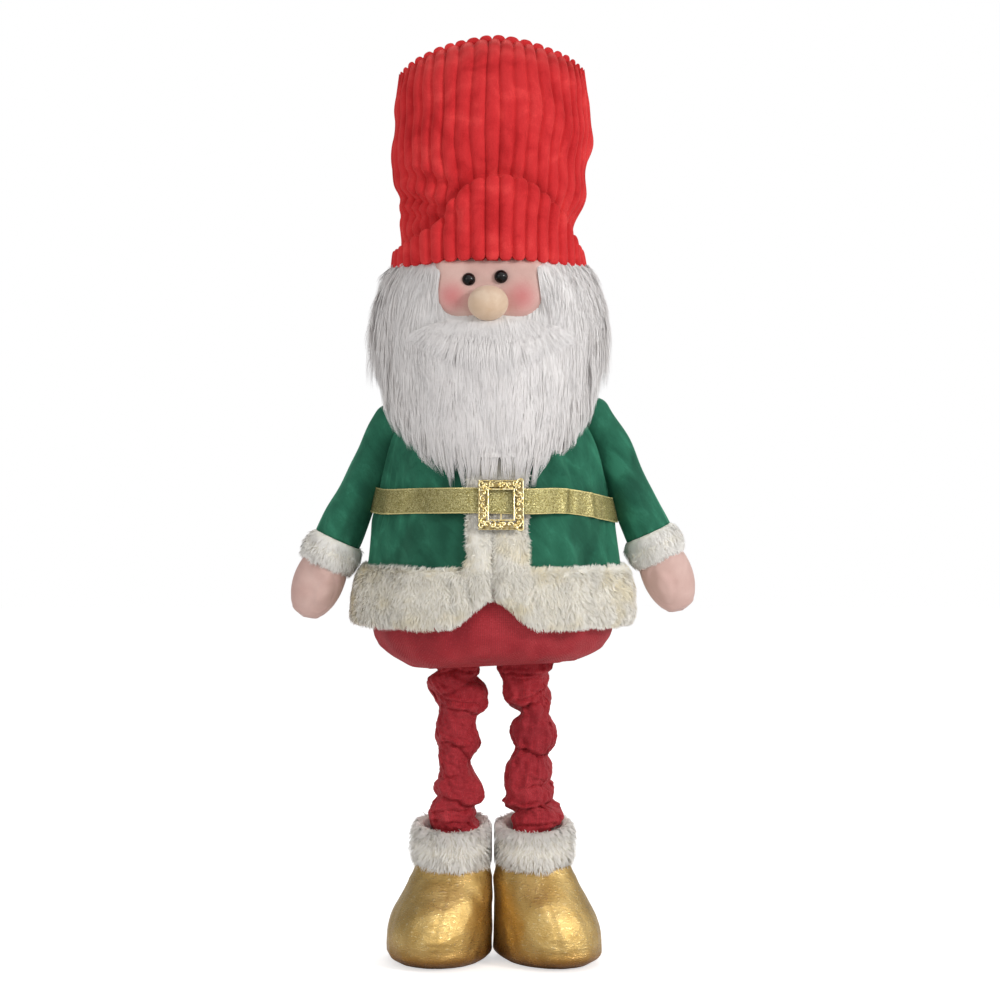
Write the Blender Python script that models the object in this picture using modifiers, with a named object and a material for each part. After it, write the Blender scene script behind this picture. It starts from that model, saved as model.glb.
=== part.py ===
"""Standing santa figure: a stuffed cloth body in a fur-trimmed coat on two telescopic legs.

Metres, +Z up. The figure faces -Y. Its origin is on the floor between the boots, and left and
right are as seen from the front.
"""

from math import atan2, cos, pi, radians, sin, sqrt

import bmesh
import bpy
import numpy as np
from mathutils import Matrix

# Clearances
FIT = 0.0003  # between hard pieces that touch
SOFT_GAP = 0.0006  # between cloth pieces that touch
FAR = 1.0  # a cutter longer than anything it cuts

# Legs: each is a tube that slides in a wider tube, with a gathered cloth cover over both
POLE_SPREAD = 0.081  # between the two pole axes
POLE_WALL = 0.0010
LOWER_TUBE_RADIUS = 0.0080
LOWER_TUBE_LENGTH = 0.3955
UPPER_TUBE_LENGTH = 0.305
COLLAR_LENGTH = 0.026
COLLAR_WALL = 0.0024
COLLAR_CUP = 0.014  # how deep the upper tube sits in its collar
TUBE_TOP_SHARE = 0.827  # how far up the body the upper tubes reach
COVER_LENGTH = 0.2023
COVER_RADIUS = 0.0262
COVER_BULGE = 0.0078  # from a crease to the crest of a fold
COVER_FOLDS = 6.5
COVER_LEAN = 0.0065  # how far the cover's top hangs towards the other leg
COVER_SWAY = 0.0020
COVER_TUCK = 0.0018  # narrower where it is tucked into the boot trim
COVER_BORE_ROOM = 0.0010

# Boots
BOOT_HEIGHT = 0.0935
BOOT_HALF_WIDTH = 0.0525
BOOT_TOE = 0.083  # toe in front of the pole axis
BOOT_HEEL = 0.063
BOOT_GAP = 0.0010
TOE_OUT = {"left": radians(3), "right": radians(9)}
SOLE_THICKNESS = 0.0037
SOLE_PLATE_RADIUS = 0.030
SOLE_PLATE_THICKNESS = 0.004
HUB_HEIGHT = 0.012
HUB_WALL = 0.0028
BOOT_TRIM_HEIGHT = 0.045
BOOT_TOP_INSET = 0.0020  # boot inside the outline of its trim

# Stuffed body
BODY_HEIGHT = 0.2695
BODY_HALF_WIDTH = 0.1225
BODY_DEPTH_RATIO = 0.82
BOARD_LIFT = 0.009  # hip board above the body's underside
BOARD_THICKNESS = 0.009
BOARD_MARGIN = 0.0395  # board past the pole axes
BOARD_DEPTH = 0.090

# Coat
COLLAR_RISE = 0.0055  # coat above the body's top
HEM_LIFT = 0.0395  # hem above the body's underside
HEM_HALF_WIDTH = 0.132
WAIST_HALF_WIDTH = 0.1165
CHEST_HALF_WIDTH = 0.097
SHOULDER_HALF_WIDTH = 0.083
COAT_NECK_HALF_WIDTH = 0.053
COAT_CLOTH = 0.0020
COAT_OPENING = 0.003  # half of the open front
COAT_FOLDS = 8
COAT_FOLD_DEPTH = 0.0026
HEM_TRIM_HEIGHT = 0.0545
HEM_TRIM_THICKNESS = 0.011
HEM_NOTCH = 0.028  # rise of the hem at the front opening
HEM_NOTCH_HALF_WIDTH = 0.044
FRONT_TRIM_WIDTH = 0.028
FRONT_TRIM_THICKNESS = 0.0105
FRONT_TRIM_PRESSED = 0.0045  # its thickness under the belt
FRONT_TRIM_FLARE = 0.010
FRONT_TRIM_LENGTH = 0.1435
FRONT_TRIM_INSET = 0.0007  # from the middle to each front trim
FRONT_TRIM_EASE = 0.016  # over which a pressed trim fills out again

# Belt and buckle
BELT_LIFT = 0.1605  # middle of the belt above the body's underside
BELT_WIDTH = 0.0245
BELT_THICKNESS = 0.0008
BELT_EDGE_ROOM = 0.004  # past the front trim before it bends back
BELT_EASE = 0.045  # over which it comes down on the coat
BUCKLE_OFFSET = 0.008
BUCKLE_WIDTH = 0.045
BUCKLE_HEIGHT = 0.050
BUCKLE_BORDER = 0.0095
BUCKLE_THICKNESS = 0.0036
BUCKLE_BAR_WIDTH = 0.004
BUCKLE_BAR_THICKNESS = 0.0014
BUCKLE_DROP = 0.004  # its middle below the belt's middle

# Arms
SHOULDER_OUT = 0.094
SHOULDER_DROP = {"left": 0.0150, "right": 0.0085}  # below the body's top
ARM_TILT = radians(24.6)
SLEEVE_LENGTH = 0.143
SLEEVE_TOP_RADIUS = 0.0165
SLEEVE_END_RADIUS = 0.0235
SLEEVE_CREASE = 0.0012
CUFF_LENGTH = 0.034
CUFF_RADIUS = 0.032
WRIST_RADIUS = 0.0185
HAND_LENGTH = 0.055
HAND_HALF_WIDTH = 0.0255
HAND_HALF_DEPTH = 0.0200
HAND_LEAN = 0.004  # fingertips towards the body

# Head
HEAD_HALF_WIDTH = 0.092
HEAD_HALF_DEPTH = 0.080
HEAD_HALF_HEIGHT = 0.092
HEAD_SEAT = 0.088  # neck below the head's middle
EYE_RADIUS = 0.0062
EYES = {"left": (-0.0233, 0.0170), "right": (0.0080, 0.0196)}  # across, above the middle
NOSE_HALF_WIDTH = 0.0196
NOSE_HALF_DEPTH = 0.0175
NOSE_HALF_HEIGHT = 0.0172
NOSE_ACROSS = -0.0045
NOSE_DROP = 0.0065
NOSE_OUT = 0.0935

# Beard, hair and moustache
BEARD_HALF_WIDTH = 0.121
BEARD_OUT = 0.1245
BEARD_LENGTH = 0.1755  # below the head's middle
HAIR_BACK = 0.105
HAIR_DROP = 0.099
LOCK_DEPTH = 0.0022
LOCKS = 13
HAIR_SPLIT = 0.012  # beard and hair part this far in front of the middle
BEARD_SET_FORWARD = 0.018  # its hanging end further in front
ROUND_SIDE = 0.8  # share of a section's edge that is its round side
FACE_WIDTH = 0.100
FACE_ACROSS = -0.0036
FACE_DROP = 0.019
FACE_CORNER = 0.024
MOUSTACHE_LEFT = 0.083
MOUSTACHE_RIGHT = 0.074
MOUSTACHE_HALF_HEIGHT = 0.0165
MOUSTACHE_HALF_DEPTH = 0.013
MOUSTACHE_OUT = 0.113
MOUSTACHE_DROP = 0.035
MOUSTACHE_SWEEP = 0.018  # its tips further back
MOUSTACHE_FALL = 0.006  # its tips lower

# Hat
HAT_LIFT = 0.035  # hat's edge above the head's middle
HAT_HEIGHT = 0.2345
HAT_HALF_WIDTH = 0.0985
HAT_HALF_DEPTH = 0.082
HAT_EDGE_HALF_WIDTH = 0.0905
HAT_SEAM_DROP = 0.034  # top seam lower at its ends than in the middle
WALES = 44
WALE_DEPTH = 0.0034
BRIM_HEIGHT = 0.024
BRIM_PEAK = 0.062  # extra height of the arch in front
BRIM_PEAK_ACROSS = 0.008
BRIM_PEAK_FLAT = 0.026  # the arch starts to fall this far from its middle
BRIM_PEAK_REACH = 0.096  # and ends this far from it
BRIM_THICKNESS = 0.0082
BRIM_GAP = 0.0008
BRIM_ROLL = 0.003  # its outer edge below its inner edge

# Facets
COAT_COLUMNS = 28
FUR_COLUMNS = 18
ROUND = 16

# Heights that follow from the sizes above
COVER_BOTTOM = BOOT_HEIGHT + SOFT_GAP
COVER_TOP = COVER_BOTTOM + COVER_LENGTH
BODY_BOTTOM = COVER_TOP + SOFT_GAP
BODY_TOP = BODY_BOTTOM + BODY_HEIGHT
HEM_BOTTOM = BODY_BOTTOM + HEM_LIFT
HEM_TOP = HEM_BOTTOM + HEM_TRIM_HEIGHT
COAT_TOP = BODY_TOP + COLLAR_RISE
BELT_MIDDLE = BODY_BOTTOM + BELT_LIFT
BELT_BOTTOM = BELT_MIDDLE - BELT_WIDTH / 2
BELT_TOP = BELT_MIDDLE + BELT_WIDTH / 2
HEAD_BOTTOM = BODY_TOP + SOFT_GAP
HEAD_MIDDLE = HEAD_BOTTOM + HEAD_SEAT
HAT_BOTTOM = HEAD_MIDDLE + HAT_LIFT
HAIR_TOP = HAT_BOTTOM - SOFT_GAP
HAIR_BOTTOM = HEAD_MIDDLE - HAIR_DROP
BEARD_BOTTOM = HEAD_MIDDLE - BEARD_LENGTH
UPPER_BODY_HEIGHTS = tuple(np.linspace(BELT_TOP, BODY_TOP, 5))
UPPER_COAT_HEIGHTS = (*UPPER_BODY_HEIGHTS, COAT_TOP)

# Widths that follow from the sizes above
UPPER_TUBE_BORE = LOWER_TUBE_RADIUS + FIT
UPPER_TUBE_RADIUS = UPPER_TUBE_BORE + POLE_WALL
COLLAR_RADIUS = UPPER_TUBE_RADIUS + FIT + COLLAR_WALL
COVER_BORE = COLLAR_RADIUS + COVER_BORE_ROOM
HUB_RADIUS = LOWER_TUBE_RADIUS + FIT + HUB_WALL
BOOT_TRIM_RADIUS = (POLE_SPREAD - BOOT_GAP) / 2
COVER_END_RADIUS = COVER_RADIUS - COVER_TUCK
BOOT_TRIM_BORE = COVER_END_RADIUS + SOFT_GAP
LOWER_TUBE_BOTTOM = SOLE_THICKNESS + 2 * FIT + SOLE_PLATE_THICKNESS
UPPER_TUBE_BOTTOM = BODY_BOTTOM + BODY_HEIGHT * TUBE_TOP_SHARE - UPPER_TUBE_LENGTH

SIDES = {"left": -1, "right": 1}

# Outlines: shares of a piece's height, against shares of its width or depth
COAT_OUTLINE = (
    (0.00, HEM_HALF_WIDTH),
    (0.52, WAIST_HALF_WIDTH),
    (0.82, CHEST_HALF_WIDTH),
    (0.92, SHOULDER_HALF_WIDTH),
    (1.00, COAT_NECK_HALF_WIDTH),
)
BODY_OUTLINE = ((0.0, 0.72), (0.02, 0.84), (0.065, 0.93), (0.14, 0.984), (0.24, 1.0), (0.38, 0.98))
BEARD_WIDTHS = (
    (0.00, 0.20),
    (0.04, 0.33),
    (0.11, 0.49),
    (0.22, 0.66),
    (0.34, 0.80),
    (0.48, 0.96),
    (0.61, 1.00),
    (0.85, 0.95),
    (0.94, 0.89),
    (1.00, 0.83),
)
BEARD_DEPTHS = ((0.0, 0.90), (0.11, 0.965), (0.34, 1.0), (0.6, 0.97), (0.78, 0.90), (1.0, 0.80))
HAIR_DEPTHS = ((0.0, 0.90), (0.5, 1.0), (1.0, 0.93))
HAT_WIDTHS = ((0.0, 0.0), (0.15, 0.25), (0.4, 0.55), (0.7, 1.0), (0.85, 0.9), (0.95, 0.6), (1.0, 0.2))
HAT_DEPTHS = ((0.0, 1.0), (0.3, 0.95), (0.6, 0.90), (0.8, 0.76), (0.92, 0.49), (0.98, 0.22), (1.0, 0.0))
TRIM_SECTION = (
    (-1.0, 0.0),
    (-0.93, 0.55),
    (-0.55, 0.95),
    (0.0, 1.0),
    (0.55, 0.95),
    (0.93, 0.55),
    (1.0, 0.0),
    (0.0, 0.0),
)
BOOT_ROWS = (  # share of height, then shares of half-width, toe and heel
    (0.00, 0.82, 0.75, 0.82),
    (0.05, 0.94, 0.89, 0.95),
    (0.22, 1.00, 1.00, 1.00),
    (0.42, 0.99, 0.99, 0.97),
    (0.62, 0.93, 0.88, 0.90),
    (0.80, 0.84, 0.65, 0.80),
    (0.93, 0.77, 0.48, 0.70),
    (1.00, 0.71, 0.41, 0.63),
)


def clear_scene():
    for old in list(bpy.data.objects):
        bpy.data.objects.remove(old, do_unlink=True)


def new_collection(name):
    made = bpy.data.collections.new(name)
    bpy.context.scene.collection.children.link(made)
    return made


clear_scene()
PARTS = new_collection("standing_santa_figure")
CUTTERS = new_collection("cutters")
CUTTERS.hide_render = True


def material(name, red, green, blue, roughness, metallic=0.0):
    """A plain finish, its colour given as screen values from 0 to 255."""
    made = bpy.data.materials.new(name)
    made.use_nodes = True
    shader = made.node_tree.nodes["Principled BSDF"]
    linear = [((c / 255 + 0.055) / 1.055) ** 2.4 for c in (red, green, blue)]
    shader.inputs["Base Color"].default_value = (*linear, 1.0)
    shader.inputs["Roughness"].default_value = roughness
    shader.inputs["Metallic"].default_value = metallic
    made.diffuse_color = (*linear, 1.0)
    return made


def finish_object(name, bm, finish):
    """An object of this mesh: a part with a material, or a hidden cutter without one."""
    bmesh.ops.recalc_face_normals(bm, faces=bm.faces)
    mesh = bpy.data.meshes.new(name)
    bm.to_mesh(mesh)
    bm.free()
    made = bpy.data.objects.new(name, mesh)
    if finish is None:
        CUTTERS.objects.link(made)
        made.hide_render = True
        made.display_type = "WIRE"
    else:
        PARTS.objects.link(made)
        mesh.materials.append(finish)
        mesh.shade_smooth()
        mesh.set_sharp_from_angle(angle=radians(40))
    return made


def along(points, at):
    """The smooth curve through these (position, value) points, read at a position."""
    places, values = np.array(points, float).T
    slopes = np.gradient(values, places)
    i = int(np.clip(np.searchsorted(places, at) - 1, 0, len(places) - 2))
    step = places[i + 1] - places[i]
    t = float(np.clip((at - places[i]) / step, 0.0, 1.0))
    ends = (1 + 2 * t) * (1 - t) ** 2 * values[i] + t * t * (3 - 2 * t) * values[i + 1]
    leans = t * (1 - t) ** 2 * slopes[i] - t * t * (1 - t) * slopes[i + 1]
    return float(ends + step * leans)


def smooth_step(start, end, at):
    t = min(max((at - start) / (end - start), 0.0), 1.0)
    return t * t * (3 - 2 * t)


def loft(name, columns, rows, place, finish=None, open_columns=False, open_rows=True, capped=True):
    """A grid wrapped into a solid or a sheet: place(s, row) gives each corner.

    s runs from 0 to 1 around the form, and row from 0 to rows along it.
    """
    bm = bmesh.new()
    bmesh.ops.create_grid(bm, x_segments=columns, y_segments=rows, size=0.5)
    for corner in bm.verts:
        s = corner.co.x + 0.5
        row = round((corner.co.y + 0.5) * rows)
        if s > 0.9999 and not open_columns:
            s = 0.0
        if row == rows and not open_rows:
            row = 0
        corner.co = place(s, row)
    bmesh.ops.remove_doubles(bm, verts=bm.verts, dist=1e-6)
    if capped:
        rims = [edge for edge in bm.edges if edge.is_boundary]
        if rims:
            bmesh.ops.holes_fill(bm, edges=rims, sides=0)
    return finish_object(name, bm, finish)


def ellipsoid(name, middle, halves, segments, finish=None, cut_below=None):
    """An ellipsoid, cut flat at a height where one is given."""
    bm = bmesh.new()
    bmesh.ops.create_uvsphere(bm, u_segments=segments, v_segments=segments // 2, radius=1.0)
    bmesh.ops.transform(bm, matrix=Matrix.LocRotScale(middle, None, halves), verts=bm.verts)
    if cut_below is not None:
        everything = bm.verts[:] + bm.edges[:] + bm.faces[:]
        bmesh.ops.bisect_plane(
            bm, geom=everything, plane_co=(0, 0, cut_below), plane_no=(0, 0, -1), clear_outer=True
        )
        bmesh.ops.holes_fill(bm, edges=[edge for edge in bm.edges if edge.is_boundary], sides=0)
    return finish_object(name, bm, finish)


def box(name, low, high, finish=None):
    bm = bmesh.new()
    bmesh.ops.create_cube(bm, size=1.0)
    middle = [(a + b) / 2 for a, b in zip(low, high)]
    sides = [b - a for a, b in zip(low, high)]
    bmesh.ops.transform(bm, matrix=Matrix.LocRotScale(middle, None, sides), verts=bm.verts)
    return finish_object(name, bm, finish)


def cylinder(name, across, radius, low, high):
    """An upright round cutter on a leg's axis."""
    bm = bmesh.new()
    bmesh.ops.create_cone(
        bm,
        cap_ends=True,
        segments=ROUND,
        radius1=radius,
        radius2=radius,
        depth=high - low,
        matrix=Matrix.Translation((across, 0, (low + high) / 2)),
    )
    return finish_object(name, bm, None)


def turned(name, across, profile, finish=None):
    """A closed (radius, height) profile turned about an upright axis at this X.

    The profile runs down its outer side and back up its inner side.
    """
    bm = bmesh.new()
    corners = [bm.verts.new((radius, 0, height)) for radius, height in profile]
    for corner, following in zip(corners, corners[1:] + corners[:1]):
        bm.edges.new((corner, following))
    made = finish_object(name, bm, finish)
    made.location.x = across
    screw = made.modifiers.new("turn", "SCREW")
    screw.steps = screw.render_steps = ROUND
    screw.use_merge_vertices = True
    screw.merge_threshold = 1e-5
    return made


def cut(part, *cutters):
    for cutter in cutters:
        step = part.modifiers.new("cut " + cutter.name, "BOOLEAN")
        step.operation = "DIFFERENCE"
        step.object = cutter


def stretch(height):
    """How much further a gap across the coat's slope reaches when measured level."""
    step = 0.001
    slope = (coat_half_width(height - step) - coat_half_width(height + step)) / (2 * step)
    return sqrt(1 + slope**2)


def coat_depth(height):
    return BODY_DEPTH_RATIO * coat_half_width(height)


def coat_half_width(height):
    return along(COAT_OUTLINE, (height - HEM_BOTTOM) / (COAT_TOP - HEM_BOTTOM))


def hem_bottom(across, depth_side):
    """The hem rises to a notch at the front opening."""
    if depth_side > 0:
        return HEM_BOTTOM
    return HEM_BOTTOM + HEM_NOTCH * (1 - smooth_step(0.0, HEM_NOTCH_HALF_WIDTH, abs(across)))


def coat_surface(turn, height, out=0.0, folded=True):
    """A point of the coat's outside. turn starts at the front and grows towards +X."""
    wide = coat_half_width(height)
    deep = wide * BODY_DEPTH_RATIO
    if folded:
        share = (BELT_MIDDLE - height) / (BELT_MIDDLE - HEM_BOTTOM)
        calm = smooth_step(0.25, 0.6, abs(sin(turn / 2)))
        out += COAT_FOLD_DEPTH * smooth_step(0.0, 1.0, share) * calm * cos(COAT_FOLDS * turn)
    ahead = (sin(turn) / wide, -cos(turn) / deep)
    length = sqrt(ahead[0] ** 2 + ahead[1] ** 2)
    return (
        wide * sin(turn) + out * ahead[0] / length,
        -deep * cos(turn) + out * ahead[1] / length,
        height,
    )


def coat_front(across, height, out):
    """A point in front of the coat, straight ahead of this X."""
    turn = float(np.arcsin(np.clip(across / coat_half_width(height), -1, 1)))
    return coat_surface(turn, height, out, folded=False)


def coat_turn(s):
    """The turn of a share of the way round the coat, from one front edge to the other."""
    edge = COAT_OPENING / WAIST_HALF_WIDTH
    return edge + s * (2 * pi - 2 * edge)


def coat_ring(name, heights, outs, finish=None):
    """A solid with the coat's outline, standing off it by an amount for each height."""
    def place(s, row):
        return coat_surface(2 * pi * s, heights[row], outs[row], folded=False)

    return loft(name, COAT_COLUMNS, len(heights) - 1, place, finish)


def body_surface(turn, height):
    """The stuffed body: its own round bottom, then close inside the coat."""
    share = (height - BODY_BOTTOM) / BODY_HEIGHT
    room = (COAT_CLOTH + 2 * SOFT_GAP) * stretch(height)
    room += COAT_FOLD_DEPTH * (1 - smooth_step(0.15, 0.6, share))
    x, y, _ = coat_surface(turn, height, -room, folded=False)
    if share < BODY_OUTLINE[-1][0]:
        wide = BODY_HALF_WIDTH * along(BODY_OUTLINE, share)
        shrink = min(1.0, wide / (coat_half_width(height) - room))
        x, y = x * shrink, y * shrink
    return x, y, height


def make_body(finish):
    seat = [BODY_BOTTOM + share * BODY_HEIGHT for share in (0.0, 0.02, 0.065, 0.14, 0.24)]
    heights = (*seat, HEM_TOP, BELT_BOTTOM, *UPPER_BODY_HEIGHTS)

    def place(s, row):
        return body_surface(2 * pi * s, heights[row])

    body = loft("torso", COAT_COLUMNS, len(heights) - 1, place, finish)
    for side, sign in SIDES.items():
        bore = cylinder(
            side + "_pole_bore",
            sign * POLE_SPREAD / 2,
            UPPER_TUBE_RADIUS + FIT,
            BODY_BOTTOM - BOARD_LIFT,
            UPPER_TUBE_BOTTOM + UPPER_TUBE_LENGTH + FIT,
        )
        cut(body, bore)
    low, high = board_box(FIT)
    cut(body, box("board_pocket", low, high))


def board_box(grow):
    half_width = POLE_SPREAD / 2 + BOARD_MARGIN + grow
    half_depth = BOARD_DEPTH / 2 + grow
    bottom = BODY_BOTTOM + BOARD_LIFT - grow
    top = BODY_BOTTOM + BOARD_LIFT + BOARD_THICKNESS + grow
    return (-half_width, -half_depth, bottom), (half_width, half_depth, top)


def make_hip_board(finish):
    low, high = board_box(0.0)
    board = box("hip_board", low, high, finish)
    for side, sign in SIDES.items():
        hole = cylinder(
            side + "_board_hole",
            sign * POLE_SPREAD / 2,
            UPPER_TUBE_RADIUS + FIT,
            low[2] - BOARD_THICKNESS,
            high[2] + BOARD_THICKNESS,
        )
        cut(board, hole)


def make_coat(cloth, fur):
    skirt = (HEM_BOTTOM, HEM_BOTTOM, HEM_TOP, (HEM_TOP + BELT_BOTTOM) / 2, BELT_BOTTOM)
    heights = (*skirt, *UPPER_COAT_HEIGHTS)

    def place(s, row):
        turn = coat_turn(s)
        height = heights[row]
        if row < 2:
            x, y, _ = coat_surface(turn, height)
            low = hem_bottom(x, y)
            height = low + 0.0015 if row == 0 else (low + HEM_TOP) / 2
        return coat_surface(turn, height)

    coat = loft("coat", COAT_COLUMNS, len(heights) - 1, place, cloth, open_columns=True, capped=False)
    shell = coat.modifiers.new("cloth", "SOLIDIFY")
    shell.thickness = COAT_CLOTH
    shell.offset = -1
    make_hem_trim(fur)
    for side, sign in SIDES.items():
        make_front_trim(side, sign, fur)


def make_hem_trim(fur):
    def place(s, row):
        turn = coat_turn(s)
        across, out = TRIM_SECTION[row]
        x, y, _ = coat_surface(turn, HEM_BOTTOM)
        low = hem_bottom(x, y)
        height = low + (HEM_TOP - low) * (across + 1) / 2
        return coat_surface(turn, height, SOFT_GAP + out * HEM_TRIM_THICKNESS)

    rows = len(TRIM_SECTION)
    loft("hem_trim", COAT_COLUMNS, rows, place, fur, open_columns=True, open_rows=False)


def front_trim_thickness(height):
    """Full above and below the belt, pressed flat under the belt and its buckle."""
    reach = BUCKLE_HEIGHT / 2 + BUCKLE_DROP
    far = smooth_step(reach, reach + FRONT_TRIM_EASE, abs(height - BELT_MIDDLE))
    return FRONT_TRIM_PRESSED + far * (FRONT_TRIM_THICKNESS - FRONT_TRIM_PRESSED)


def make_front_trim(side, sign, fur):
    bottom = HEM_TOP + SOFT_GAP
    rows = 11

    def place(s, row):
        share = row / rows
        height = bottom + share * FRONT_TRIM_LENGTH
        across, out = TRIM_SECTION[round(s * len(TRIM_SECTION)) % len(TRIM_SECTION)]
        flare = FRONT_TRIM_FLARE * (1 - smooth_step(0.0, 0.18, share))
        width = FRONT_TRIM_WIDTH + flare
        x = sign * (FRONT_TRIM_INSET + width * (across + 1) / 2)
        return coat_front(x, height, SOFT_GAP + out * front_trim_thickness(height))

    loft(side + "_front_trim", len(TRIM_SECTION), rows, place, fur)


def belt_front(height):
    """How far forward the belt's inner face crosses the front trims and the buckle's bar."""
    return coat_depth(height) + FRONT_TRIM_PRESSED + BUCKLE_BAR_THICKNESS + 3 * SOFT_GAP


def belt_surface(turn, height, out):
    """The ribbon lies on the coat at the sides and back, and runs straight across the front trims."""
    x, y, _ = coat_surface(turn, height, out + SOFT_GAP, folded=False)
    if cos(turn) <= 0:
        return x, y, height
    edge = FRONT_TRIM_WIDTH + BELT_EDGE_ROOM
    over = 1 - smooth_step(edge, edge + BELT_EASE, abs(x))
    return x, y + over * (-belt_front(height) - out - y), height


def make_belt(finish):
    heights = (BELT_BOTTOM, BELT_TOP)
    columns = COAT_COLUMNS + 8

    def place(s, row):
        return belt_surface(2 * pi * s, heights[row], 0.0)

    belt = loft("belt", columns, len(heights) - 1, place, finish, capped=False)
    ribbon = belt.modifiers.new("ribbon", "SOLIDIFY")
    ribbon.thickness = BELT_THICKNESS
    ribbon.offset = 1


def make_buckle(finish):
    """A frame in front of the ribbon, joined above and below it to a bar behind it."""
    middle = BELT_MIDDLE - BUCKLE_DROP
    rise = (belt_front(BELT_BOTTOM) - belt_front(BELT_TOP)) / BELT_WIDTH
    half = (BUCKLE_WIDTH / 2, BUCKLE_HEIGHT / 2)
    window = (half[0] - BUCKLE_BORDER, half[1] - BUCKLE_BORDER)
    back = BELT_THICKNESS + SOFT_GAP
    front = back + BUCKLE_THICKNESS
    bar_back = -SOFT_GAP - BUCKLE_BAR_THICKNESS
    above = BELT_WIDTH / 2 + BUCKLE_DROP + SOFT_GAP
    below = -BELT_WIDTH / 2 + BUCKLE_DROP - SOFT_GAP

    frame = box("buckle", (-half[0], -front, -half[1]), (half[0], -back, half[1]), finish)
    round_edges(frame, 0.0016, 2)
    pane = box("buckle_window", (-window[0], -FAR, -window[1]), (window[0], FAR, window[1]))
    bar_half = BUCKLE_BAR_WIDTH / 2
    top = half[1] - BUCKLE_BORDER / 3
    bar = box("buckle_bar", (-bar_half, -back - 0.001, -top), (bar_half, -bar_back, top))
    slot = box("ribbon_slot", (-FAR, -back, below), (FAR, SOFT_GAP, above))
    cut(bar, slot)
    lower = box("bar_clear", (-FAR, -FAR, -window[1]), (FAR, -back, window[1]))
    cut(bar, lower)
    cut(frame, pane)
    join = frame.modifiers.new("bar", "BOOLEAN")
    join.operation = "UNION"
    join.object = bar
    for piece in (frame, pane, bar, slot, lower):
        piece.location = (BUCKLE_OFFSET, -belt_front(middle), middle)
        piece.rotation_euler.x = -atan2(rise, 1.0)


def round_edges(part, width, segments):
    edges = part.modifiers.new("rounded", "BEVEL")
    edges.width = width
    edges.segments = segments
    edges.limit_method = "ANGLE"


def make_arms(cloth, fur, skin):
    room = arm_room()
    for side, sign in SIDES.items():
        shoulder = bpy.data.objects.new(side + "_shoulder", None)
        PARTS.objects.link(shoulder)
        shoulder.location = (sign * SHOULDER_OUT, 0, BODY_TOP - SHOULDER_DROP[side])
        shoulder.rotation_euler.y = -sign * ARM_TILT
        pieces = (
            make_sleeve(side, cloth),
            make_cuff(side, fur),
            make_hand(side, sign, skin),
        )
        for piece in pieces:
            piece.parent = shoulder
            cut(piece, room)
        above = box(side + "_hair_room", (-FAR, -FAR, HAIR_BOTTOM - SOFT_GAP), (FAR, FAR, FAR))
        cut(pieces[0], above)


def arm_room():
    """The space that coat, belt and hem trim take, which the arms keep out of."""
    trim = HEM_TRIM_THICKNESS + COAT_FOLD_DEPTH + 2 * SOFT_GAP
    ribbon = BELT_THICKNESS + 2 * SOFT_GAP
    plan = (
        (HEM_BOTTOM - 0.02, trim),
        (HEM_TOP - 0.003, trim),
        (HEM_TOP + 0.005, COAT_FOLD_DEPTH + 2 * SOFT_GAP),
        (BELT_BOTTOM - 0.008, 2 * SOFT_GAP),
        (BELT_BOTTOM - 0.001, ribbon + SOFT_GAP),
        (BELT_TOP + 0.001, ribbon + SOFT_GAP),
        *((height, 2 * SOFT_GAP * stretch(height)) for height in UPPER_COAT_HEIGHTS[1:]),
    )
    heights, outs = zip(*plan)
    return coat_ring("arm_room", heights, outs)


def make_sleeve(side, cloth):
    rows = 7

    def place(s, row):
        share = row / rows
        turn = 2 * pi * s
        radius = SLEEVE_TOP_RADIUS + (SLEEVE_END_RADIUS - SLEEVE_TOP_RADIUS) * share**0.8
        crease = SLEEVE_CREASE * sin(3 * pi * share) * cos(2 * turn + 5 * share)
        radius += crease * (1 - share)
        return radius * sin(turn), -radius * cos(turn), -share * SLEEVE_LENGTH

    return loft(side + "_sleeve", ROUND, rows, place, cloth)


def make_cuff(side, fur):
    top = -SLEEVE_LENGTH - FIT
    section = 8

    def place(s, row):
        turn = 2 * pi * s
        around = 2 * pi * row / section
        bore = WRIST_RADIUS + SOFT_GAP
        out = 0.5 + 0.5 * np.sign(cos(around)) * abs(cos(around)) ** 0.7
        radius = bore + (CUFF_RADIUS - bore) * out
        up = np.sign(sin(around)) * abs(sin(around)) ** 0.7
        return radius * sin(turn), -radius * cos(turn), top + (up - 1) * CUFF_LENGTH / 2

    return loft(side + "_cuff", ROUND, section, place, fur, open_rows=False)


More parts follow.
